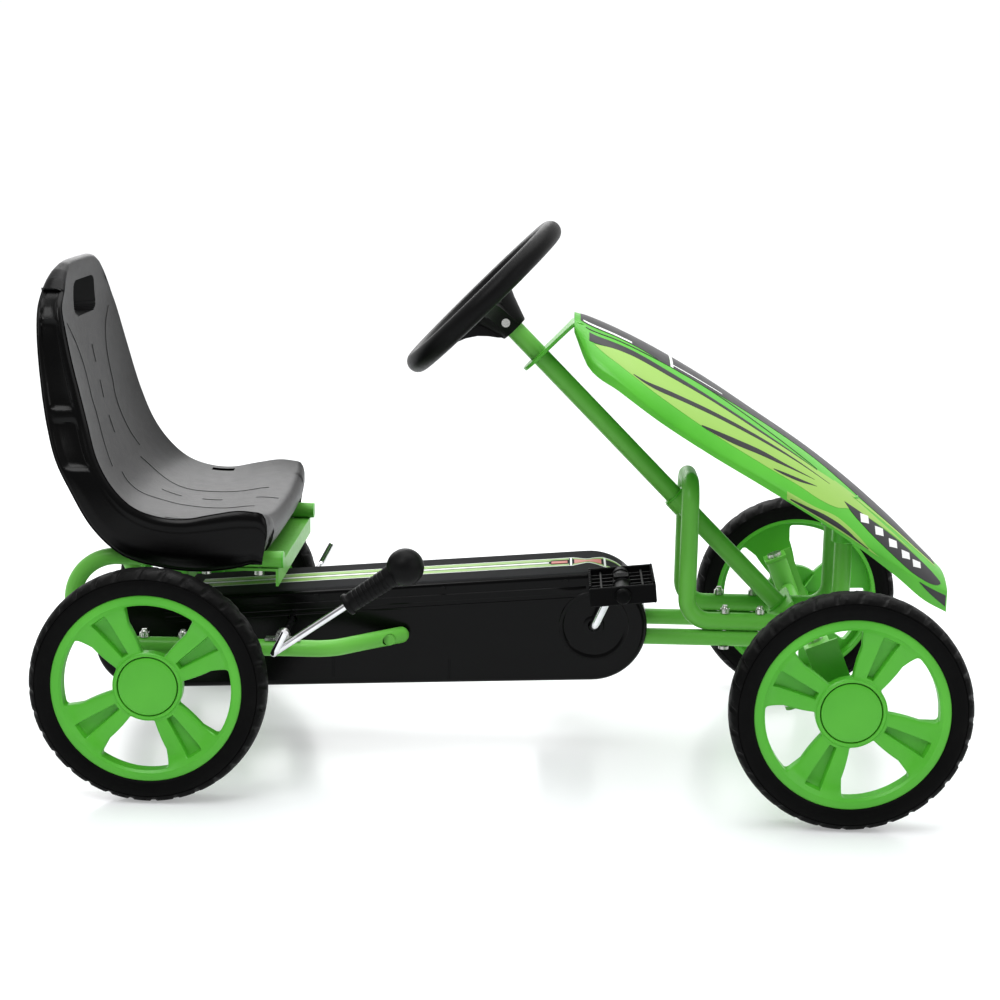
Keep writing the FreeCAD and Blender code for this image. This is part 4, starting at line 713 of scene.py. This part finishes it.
def strip(form, rows, lift, start=None, end=None, mirror=True, columns=6):
    """One printed mark as a thin skin, on both sides of the panel unless it crosses over."""
    start = rows[0][0] if start is None else start
    end = rows[-1][0] if end is None else end
    for hand in ((1, -1) if mirror else (1,)):
        top, low = [], []
        for x in spaced(start, end, max(2, round((end - start) / 3.5))):
            line = [c * hand for c in spaced(*follow(rows, x), columns)]
            top.append([above_panel(x, c, lift) for c in line])
            low.append([above_panel(x, c, -0.3) for c in line])
        form.skins(top, low)


def graphics():
    """Printed marks on the panel, one piece for each colour."""
    light, dark, white = Form(), Form(), Form()
    strip(light, LIGHT_FIELD, 0.22)
    strip(light, NOSE_LIGHT, 0.22)
    strip(light, BLISTER, 0.22)
    for rows in (UPPER_FLASH, HAIRLINE, LONG_FLASH, LOW_FLASH, TAIL_FLASH, LAMP,
                 BLISTER_FLASH, NOSE_PATCH):
        strip(dark, rows, 0.4)
    strip(dark, RIDGE, 0.34, end=187, mirror=False, columns=14)
    strip(dark, RIDGE, 0.34, start=191, mirror=False, columns=14)
    strip(white, [(87, -0.47, -0.41), (143, -0.385, -0.335)], 0.5)
    strip(white, [(190, -0.355, -0.33), (248, -0.3, -0.275)], 0.5)
    strip(white, [(187.4, -0.41, 0.41), (190.6, -0.41, 0.41)], 0.45, mirror=False, columns=12)
    for x, c in ((412, -0.775), (430, -0.79), (447, -0.81), (463, -0.83), (477, -0.84)):
        strip(white, [(x - 5.2, c + 0.03, c - 0.07), (x + 5.2, c + 0.08, c - 0.02)], 0.55)
    for form, name, material in ((light, "panel_light_print", "print_light"),
                                 (dark, "panel_dark_print", "print_dark"),
                                 (white, "panel_white_print", "print_white")):
        placed(name, form.mesh(name, material, 60), "chassis", ())


# ---- seat

# backrest: height, lip x, bowl x, back x
BACKREST = [(430, -466, -476.5, -509.5), (470, -476, -484.5, -513.5), (505, -484, -491, -516),
            (527, -489, -493, -516.3), (547, -490, -493, -515), (562, -491, -493, -510),
            (570, -493, -494, -505)]
# hips and pan: row, lip x and z, bowl x and z, underside x and z, half width
PAN = [(0, -466, 430, -476.5, 430, -509.5, 430, 151), (1, -458.5, 402, -471, 404, -504, 398, 156),
       (2, -447, 366, -459, 365, -493.5, 364, 168), (3, -430, 337, -443.5, 334, -478, 334, 176),
       (4, -407, 315, -420.5, 310.5, -452, 290, 180),
       (5, -380, 304.5, -388, 296.5, -418, 259, 180),
       (6, -350, 302, -355, 292, -375, 246.5, 180), (7, -320, 307.5, -322, 292, -336, 243, 180),
       (8, -290, 312.5, -290, 296, -301, 246, 180), (9, -267, 311, -266, 295, -277, 252, 179)]
OUTLINE = [(0, 569.5), (50, 569.5), (70, 567.5), (88, 561), (102, 552), (112, 543)]
HALF_AT = [(430, 151), (470, 147), (505, 140), (528, 130), (543, 112)]
CORNER_HALF, CORNER_HEIGHT, BASE = 112.0, 543.0, 430.0
SIDE_STEPS = [(0.02, 1.2), (0.07, 3.4), (0.14, 4.6), (0.2, 4.9), (0.25, 4.2), (0.28, 2.2),
              (0.32, 1.4), (0.5, 1.2), (0.68, 1.4), (0.8, 2.0), (0.84, 3.8), (0.9, 4.0),
              (0.96, 2.6), (0.99, 1.2)]
SIDE_RELIEF = [(353, 1), (357, 0), (403, 0), (407, 1), (417, 1), (420, 0), (511, 0), (513.5, 1),
               (516.5, 1), (518.5, 0.35), (533, 0.35), (536, 1)]
SIDE_SET = 2.4
SEAT_ACROSS = [0, 0.04, 0.1, 0.17, 0.222, 0.23, 0.28, 0.3, 0.33, 0.37, 0.395, 0.41, 0.48, 0.55,
               0.62, 0.663, 0.715, 0.757, 0.772, 0.78, 0.83, 0.888, 0.9, 0.93, 0.952, 0.985, 1.0]
# the hand hole narrows towards the back
HOLE_TAPER = [(0, 0), (0.41, 0.29), (0.48, 0.41), (0.55, 0.55), (1, 1)]


def seat_places(row, v):
    """Front, back and half width at a seat row; rows below 0 climb the backrest."""
    bowl = max(0.0, 1 - abs(v) ** 3)
    if row <= 0:
        share = min(-row, 1.0)
        top = straight(OUTLINE, abs(v) * CORNER_HALF)
        z = BASE + share * (top - BASE)
        half = follow(HALF_AT, BASE + share * (CORNER_HEIGHT - BASE))[0]
        lip, dip, behind = follow(BACKREST, z)
        return (lip + (dip - lip) * bowl, z), (behind, z), half
    lx, lz, dx, dz, bx, bz, half = follow(PAN, row)
    return (lx + (dx - lx) * bowl, lz + (dz - lz) * bowl), (bx, bz), half


def seat_skin(row, v, lift):
    """A point on the seat's face, lifted off it."""
    def at(r, w):
        face, _, half = seat_places(r, w)
        return Vector((face[0], w * (half - SIDE_SET), face[1]))
    along = at(row + 0.02, v) - at(row - 0.02, v)
    across = at(row, v + 0.01) - at(row, v - 0.01)
    return at(row, v) + along.cross(across).normalized() * -lift


def under_seat(x, y, z):
    """The underside clears the two tubes and the bracket."""
    if abs(y) > 138.5 and abs(y) < 161.5 and x > -442:
        return max(z, 263.2)
    if abs(y) < 164 and x > -364:
        return max(z, 244.4)
    return z


def seat_line(row):
    """One row of the seat: (face and sides, back) at the same columns."""
    face, back = [], []
    for v in [-v for v in reversed(SEAT_ACROSS[1:])] + SEAT_ACROSS:
        front, behind, half = seat_places(row, v)
        inward = straight(HOLE_TAPER, abs(v)) if -0.9 < row < -0.55 else abs(v)
        face.append(Vector((front[0], v * (half - SIDE_SET), front[1])))
        back.append(Vector((behind[0], math.copysign(inward, v) * (half - SIDE_SET),
                            under_seat(behind[0], v * half, behind[1]))))
    front, behind, half = seat_places(row, 1)
    height = (front[1] + behind[1]) / 2
    relief = straight(SIDE_RELIEF, height) if height > 340 else 1.0
    for share, out in SIDE_STEPS:
        if 0.28 <= share <= 0.8:
            out = 4.6 * relief + out * (1 - relief)
        x = front[0] + (behind[0] - front[0]) * share
        z = front[1] + (behind[1] - front[1]) * share
        wall, inner = half - 4.6 + out, half - SIDE_SET + 0.12 * share
        face = [Vector((x, -wall, z))] + face + [Vector((x, wall, z))]
        back = ([Vector((behind[0], -inner, behind[1]))] + back
                + [Vector((behind[0], inner, behind[1]))])
    return face, back


CLIMBING = [1, 0.99, 0.975, 0.95, 0.92, 0.89, 0.86, 0.852, 0.84, 0.82, 0.79, 0.75, 0.72, 0.68,
            0.66, 0.63, 0.6, 0.585, 0.575, 0.565, 0.54, 0.52]
CLIMBING += [0.05 * k for k in range(10, 0, -1)]
TOP_ROWS, FRONT_ROWS = 7, 9


def seat():
    """Moulded bucket: crowned skins, beaded sides with sunk panels, hand hole and slots."""
    lines = [seat_line(row) for row in [-s for s in CLIMBING] + [i * 0.1 for i in range(91)]]
    front = [face for face, _ in lines]
    back = [behind for _, behind in lines]

    def rounded_end(index, beyond, steps):
        """Extra rows that carry the face round an end of the shell to the back."""
        pairs = list(zip(front[index], back[index]))
        added, backs = [], []
        for k in range(1, steps + 1):
            turn = math.pi * k / steps
            added.append([p.lerp(q, (1 - math.cos(turn)) / 2) + math.sin(turn) * beyond(p)
                          for p, q in pairs])
            backs.append([q + (p - q).normalized() * 0.05 * k for p, q in pairs])
        return added, backs

    added, backs = rounded_end(0, lambda p: Vector((0, p.y / 150, 1)).normalized() * 5, TOP_ROWS)
    front[:0], back[:0] = added[::-1], backs[::-1]
    added, backs = rounded_end(-1, lambda p: Vector((16.5 - abs(p.y / 180) ** 6 * 3, 0, 0)),
                               FRONT_ROWS)
    front.extend(added)
    back.extend(backs)
    centre = len(SIDE_STEPS) + len(SEAT_ACROSS) - 1
    hole_rows = [k + TOP_ROWS for k, s in enumerate(CLIMBING) if 0.56 < s <= 0.86]

    def gone(i, j):
        v = abs(j - centre + 0.5)
        if hole_rows[0] <= i < hole_rows[-1]:
            below, above = hole_rows[-1] - 1 - i, i - hole_rows[0]
            return v < min(8 + above, 7 + below, 11)
        lower = (i - TOP_ROWS - len(CLIMBING)) * 0.1
        return 5.25 < lower < 6.2 and 22 < v < 24

    mesh = Form().skins(front, back, gone).mesh("seat", "seat_plastic", 40)
    mesh.materials.append(MATERIALS["seat_side"])
    for face in mesh.polygons:
        if abs(face.normal.y) > 0.55 and abs(face.center.y) > 100 * MM:
            face.material_index = 1
    placed("seat_shape", mesh, "chassis", ("seat",))


# places along the seat's face for the strips of painted groove shade, each with its share of the half width
SEAT_GROOVE_SHADE = [
    [(-0.6, 0.8), (-0.38, 0.55), (-0.16, 0.43), (0.3, 0.41), (1.2, 0.37), (2.0, 0.41),
     (2.7, 0.47)],
    [(3.06, 0.32), (3.46, 0.36), (3.94, 0.35), (4.91, 0.27), (6.46, 0.3), (8.1, 0.35)],
    [(-0.31, 0), (-0.16, 0)], [(-0.01, 0), (0.77, 0)], [(1.37, 0), (1.87, 0)],
    [(4.46, 0), (5.16, 0)], [(5.91, 0), (6.63, 0)], [(7.85, 0), (8.93, 0)],
]


def painted_seat_groove_shade():
    """Thin near-black strips on the seat's face: painted shade standing for its fine moulded grooves."""
    form = Form()
    for line in SEAT_GROOVE_SHADE:
        for hand in ((-1, 1) if line[0][1] else (1,)):
            start, stop = line[0][0], line[-1][0]
            rows = spaced(start, stop, max(8, int((stop - start) * 14)))
            form.skins(*[[[seat_skin(row, follow(line, row)[0] * hand + w, lift)
                           for w in (-0.005, 0.005)] for row in rows] for lift in (0.35, -0.5)])
    # near-black strips just proud of the face: painted shade where the grooves fall dark
    placed("seat_groove_painted_shade", form.mesh("painted_seat_groove_shade", "seat_line", 60), "chassis", ())


# ---- chain guard

GUARD_HALF = 66.0
FRONT_WHEEL, REAR_WHEEL = (105.0, 163.0, 65.0), (-423.0, 130.0, 54.0)


def guard_top(x, lift):
    """A point on the chain guard's top at a forward place, lifted along the normal."""
    (fx, fz, big), (rx, rz, small) = FRONT_WHEEL, REAR_WHEEL
    gap = math.hypot(fx - rx, fz - rz)
    slope = math.atan2(fz - rz, fx - rx) + math.asin((big - small) / gap)
    normal = Vector((-math.sin(slope), 0, math.cos(slope)))
    start, stop = rx + small * normal.x, fx + big * normal.x
    if x > stop:
        turn = math.asin(min((x - fx) / big, 1.0))
        normal = Vector((math.sin(turn), 0, math.cos(turn)))
        here = Vector((fx, 0, fz)) + normal * big
    else:
        here = Vector((rx, 0, rz)) + normal * small
        here += Vector((1, 0, math.tan(slope))) * (x - start)
    return here + normal * lift


# stripes along the guard: material, height, rows of (forward place, left edge, right edge)
STRIPES = [
    ("print_stripe", 0.3, [(-360, 20.0, 6.5), (56, 20.0, 6.5)]),
    ("print_stripe", 0.3, [(56, 20.0, 12.0), (78, 20.0, 12.0)]),
    ("print_stripe", 0.3, [(82, 20.5, 14.0), (100, 7.5, 4.6), (118, 24, 17), (134, 24, 18),
                           (150, 13, 9)]),
    ("print_white", 0.32, [(-360, 22.5, 20.6), (66, 22.5, 20.6), (82, 23.5, 21.4),
                           (100, 10.0, 8.4), (118, 27, 24.6), (134, 27, 24.8), (150, 15, 13.4)]),
    ("print_white", 0.32, [(-360, 3.6, -3.6), (54, 3.6, -3.6)]),
    ("print_white", 0.36, [(79, 20.5, -20.5), (81.4, 20.5, -20.5)]),
    ("print_white", 0.36, [(119, 23, -23), (121.4, 23, -23)]),
    ("print_red", 0.34, [(57, 6.5, -6.5), (76, 6.5, -6.5)]),
    ("print_red", 0.34, [(84, 11.5, -11.5), (100, 3.6, -3.6), (116, 13.5, -13.5)]),
]


def stripe(form, rows, hand, lift):
    """A thin skin on top of the guard."""
    start, stop = rows[0][0], rows[-1][0]
    top, low = [], []
    for x in spaced(start, stop, max(3, round((stop - start) / 4))):
        left, right = (straight([(row[0], row[k]) for row in rows], x) * hand for k in (1, 2))
        across = [Vector((0, y, 0)) for y in spaced(left, right, 4)]
        top.append([guard_top(x, lift) + y for y in across])
        low.append([guard_top(x, -0.4) + y for y in across])
    form.skins(top, low)


def ledge(form, side, drop, tall, proud, start, stop):
    """A moulded ledge along the guard's side, a set drop under the top."""
    outline = [(-0.6, 0), (proud * 0.6, 0.25), (proud, 0.9), (proud, tall - 1.4),
               (proud * 0.55, tall - 0.3), (-0.6, tall)]
    form.loft([[guard_top(x, -drop - down)
                + Vector((0, side * (GUARD_HALF + out * (1.0 if start < x < stop else 0.15)), 0))
                for out, down in outline] for x in spaced(start, stop, 24)])


def guard_details():
    """Ledges, a round boss at the crank, ribs and the printed stripes of the chain guard."""
    form = Form()
    crank = joint_place("crank_spin")
    for side in (-1, 1):
        ledge(form, side, 15.4, 9.0, 1.6, -395, 96)
        ledge(form, side, 27.5, 3.2, 0.9, -395, 92)
        at = Matrix.Translation((crank.x, side * GUARD_HALF, crank.z)) @ turned(-90 * side, "X")
        form.add(Form().lathe([(34.0, -0.6), (36.0, 0.5), (38.6, 1.3), (39.8, 1.3), (40.8, 0.4),
                               (41.0, -0.6)], 96), at)
        form.add(Form().lathe([(6.6, -1.6), (6.6, 0.7), (7.2, 1.1), (11.0, 1.1), (12.2, 0.5),
                               (12.6, -1.6)], 64), at)
        for x in (-196, -60):
            form.loft([[Vector((x + dx, side * (GUARD_HALF + dy), z)) for dx, dy in
                        ((-1.4, -0.5), (-0.9, 0.7), (0.9, 0.7), (1.4, -0.5))]
                       for z in (96, 99, 108, 118, 121)])
    placed("guard_ledges", form.mesh("guard_ledges", "guard_plastic", 32), "chassis", ())
    inks = {}
    for ink, lift, rows in STRIPES:
        drawn = inks.setdefault(ink, Form())
        for hand in ((1, -1) if rows[0][1] != -rows[0][2] else (1,)):
            stripe(drawn, rows, hand, lift)
    for ink, drawn in inks.items():
        placed("guard_" + ink, drawn.mesh("guard_" + ink, ink, 60), "chassis", ())


# ---- pedals

def bar(form, first, second, edge):
    """A box with bevelled edges, between two opposite corners."""
    low = Vector(map(min, first, second))
    wide = Vector(map(max, first, second)) - low
    run = max(range(3), key=lambda k: wide[k])
    a, b = [k for k in range(3) if k != run]
    outline = [(edge, 0), (wide[a] - edge, 0), (wide[a], edge), (wide[a], wide[b] - edge),
               (wide[a] - edge, wide[b]), (edge, wide[b]), (0, wide[b] - edge), (0, edge)]
    sections = []
    for along, shrink in ((0, edge), (edge, 0), (wide[run] - edge, 0), (wide[run], edge)):
        line = []
        for u, v in outline:
            point = low.copy()
            point[a] += min(max(u, shrink), wide[a] - shrink)
            point[b] += min(max(v, shrink), wide[b] - shrink)
            point[run] += along
            line.append(point)
        sections.append(line)
    form.loft(sections)


def pedal_mesh():
    """Cage pedal: side plates, two toothed rails, inner rails, ribs and a spindle housing."""
    form = Form()
    for side in (-1, 1):
        bar(form, (-36.5, side * 49.5, -10.5), (36.5, side * 53, 10.5), 1.2)
        bar(form, (side * 33.4, -50, -8.5), (side * 36.4, 50, 8.5), 0.7)
        bar(form, (side * 21.6, -50, -6.5), (side * 24, 50, 6.5), 0.5)
        for i in range(10):
            y = -44.1 + 9.8 * i
            for up in (-1, 1):
                form.loft([[Vector((side * x, y + w * hand, up * z))
                            for x, hand in ((x0, -1), (x1, -1), (x1, 1), (x0, 1))]
                           for x0, x1, w, z in ((33.3, 36.5, 2.9, 8), (33.5, 36.4, 2.3, 10.4),
                                                (34.2, 35.9, 1.4, 12.3))])
        for i in range(5):
            y = -36.0 + 18 * i
            bar(form, (side * 9, y - 1.3, -5.5), (side * 34, y + 1.3, 5.5), 0.4)
        for i in range(-2, 3):
            bar(form, (-8.5, i * 4.2 - 1.2, side * 8.6), (8.5, i * 4.2 + 1.2, side * 12.2), 0.5)
    half = [(10.6, 49.6), (10.6, 38), (9.2, 36.5), (9.2, 12), (10.8, 10.5)]
    housing = [(6.0, -49.6)] + [(r, -y) for r, y in half] + half[::-1] + [(6.0, 49.6)]
    form.add(Form().lathe(housing, 48), turned(90, "X"))
    return form.mesh("pedal", "pedal_plastic", 32)


def pedals():
    """The same moulding on both spindles."""
    mesh = pedal_mesh()
    for name in ("pedal_right", "pedal_left"):
        placed(name + "_shape", mesh, name, (name,),
               Matrix.Translation(middle(name)) @ turned(-6, "Y"))


def pedal_caps():
    """Domed caps over the spindle ends, in place of plain nuts."""
    form = Form()
    for side, name in ((-1, "pedal_right"), (1, "pedal_left")):
        spot = middle(name) * 1000
        form.add(Form().lathe([(0, 0), (8.6, 0), (8.6, 4.2), (7.9, 6.0), (5.6, 7.4), (2.5, 8.0),
                               (0, 8.1)], 40),
                 Matrix.Translation((spot.x, spot.y + side * 53.3, spot.z))
                 @ turned(-90 * side, "X"))
    placed("pedal_caps", form.mesh("pedal_caps", "pedal_plastic", 40), "crank",
           ("pedal_nuts",))


# ---- brake grip

SEAM = 10  # the step round the ball that carries its moulding line


def brake_grip():
    """Ball on a collared sleeve, turned about the lever."""
    low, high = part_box("brake_grip")
    radius = 20.5
    ball = Vector((high.x * 1000 - radius, (low.y + high.y) * 500, high.z * 1000 - radius))
    pivot = joint_place("brake_lever_pull")
    along = Vector((ball.x - pivot.x, 0, ball.z - pivot.z)).normalized()
    reach = 77.9
    profile = [(4.15, 0), (11.2, 0), (12.4, 0.8), (12.8, 2.6), (12.4, 4.6), (11.0, 5.8),
               (10.6, 7.5)]
    for k in range(8):
        z = 10 + 5.6 * k
        swell = 10.8 + 0.022 * z
        profile += [(swell, z), (swell, z + 3.6), (swell - 0.45, z + 4.2), (swell - 0.45, z + 5.0)]
    profile += [(12.2, 56), (12.5, 59)]
    for k, turn in enumerate(spaced(38, 180, 26)):
        back, out, _ = polar(radius - (0.2 if k == SEAM else 0.0), turn, 0)
        profile.append((out, reach - back))
    profile[-1] = (0, reach + radius - 0.1)
    profile += [(0, reach + 1), (4.15, reach + 1)]
    placed("brake_grip_shape", Form().lathe(profile, 72).mesh("brake_grip", "black_plastic", 30),
           "brake", ("brake_grip",), facing((ball - along * reach) * MM, along))


TUBE_R = 9.45


def tube_ends():
    """Rounded caps that close the low front ends of the two side tubes."""
    for name, side in (("side_tube_right", -1), ("side_tube_left", 1)):
        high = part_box(name)[1]
        spot = Vector((high.x * 1000 - 6.7, side * 76, 151))
        along = Vector((1, side * -0.987, 0)).normalized()
        dome = [polar(TUBE_R, 9 * k, 0)[:2] for k in range(10)]
        profile = [(0, -4), (TUBE_R, -4)] + dome + [(0, TUBE_R)]
        placed(name + "_cap", Form().lathe(profile, 40).mesh(name + "_cap", "green_paint", 35),
               "chassis", (), facing(spot * MM, along, (0, 0, 1)))


# ---- stage

def sky():
    """White surroundings that darken towards the side the camera stands on."""
    world = bpy.data.worlds.new("studio")
    world.use_nodes = True
    tree = world.node_tree
    place = tree.nodes.new("ShaderNodeTexCoord")
    split = tree.nodes.new("ShaderNodeSeparateXYZ")
    tree.links.new(place.outputs["Generated"], split.inputs[0])
    fade = tree.nodes.new("ShaderNodeMapRange")
    fade.interpolation_type = "SMOOTHSTEP"
    for socket, value in (("From Min", -0.8), ("From Max", 0.1), ("To Min", 0.32),
                          ("To Max", 1.02)):
        fade.inputs[socket].default_value = value
    tree.links.new(split.outputs["Y"], fade.inputs["Value"])
    tree.links.new(fade.outputs[0], tree.nodes["Background"].inputs[1])
    tree.nodes["Background"].inputs[0].default_value = (1, 1, 1, 1)
    return world


def studio():
    """Pale floor, soft lights and the camera."""
    scene = bpy.context.scene
    lo, hi = (Vector(corner) for corner in CAD_BOX)
    floor_mesh = bpy.data.meshes.new("floor")
    floor_mesh.from_pydata(ring(50.0, 0.0, 96), [], [tuple(range(96))])
    floor = bpy.data.objects.new("floor", floor_mesh)
    scene.collection.objects.link(floor)
    s = Shader("floor", Specular_IOR_Level=0.35)
    rough = s.spread(s.noise(0.8, 2.0), 0.3, 0.7, 0.2, 0.24)
    tone = s.mix(s.spread(s.noise(0.5, 1.0), 0.3, 0.7), (0.61, 0.63, 0.64), (0.63, 0.65, 0.66))
    floor_mesh.materials.append(s.set(Base_Color=tone, Roughness=rough,
                                      Emission_Color=(1, 1, 1), Emission_Strength=0.37))

    scene.world = sky()

    centre = (lo + hi) / 2
    for name, place, wide, power in (("key", (-0.9, -1.6, 2.4), 1.2, 26),
                                     ("fill", (1.8, -1.5, 1.3), 1.4, 9),
                                     ("top", (0.2, 0.3, 2.8), 2.4, 44),
                                     ("back", (-0.6, 2.2, 1.6), 1.6, 20)):
        data = bpy.data.lights.new(name, "AREA")
        data.size = wide
        data.energy = power
        light = bpy.data.objects.new(name, data)
        light.location = place
        light.rotation_mode = "QUATERNION"
        light.rotation_quaternion = (centre - Vector(place)).to_track_quat("-Z", "Y")
        scene.collection.objects.link(light)

    data = bpy.data.cameras.new("camera")
    data.sensor_width = 36.0
    data.lens = 76.34
    data.shift_y = 0.1
    data.clip_end = 120.0
    camera = bpy.data.objects.new("camera", data)
    yaw, pitch, roll = 1.389, 13.043, 1.008
    camera.matrix_world = (Matrix.Translation((0.0564, -2.4654, 0.7488)) @ turned(yaw, "Z")
                           @ turned(90 - pitch, "X") @ turned(roll, "Z"))
    scene.collection.objects.link(camera)
    scene.camera = camera
    scene.view_settings.view_transform = "Standard"
    scene.view_settings.gamma = 0.88


dress_cad()
wheels()
steering_wheel()
front_panel()
graphics()
seat()
painted_seat_groove_shade()
guard_details()
pedals()
pedal_caps()
brake_grip()
tube_ends()
studio()
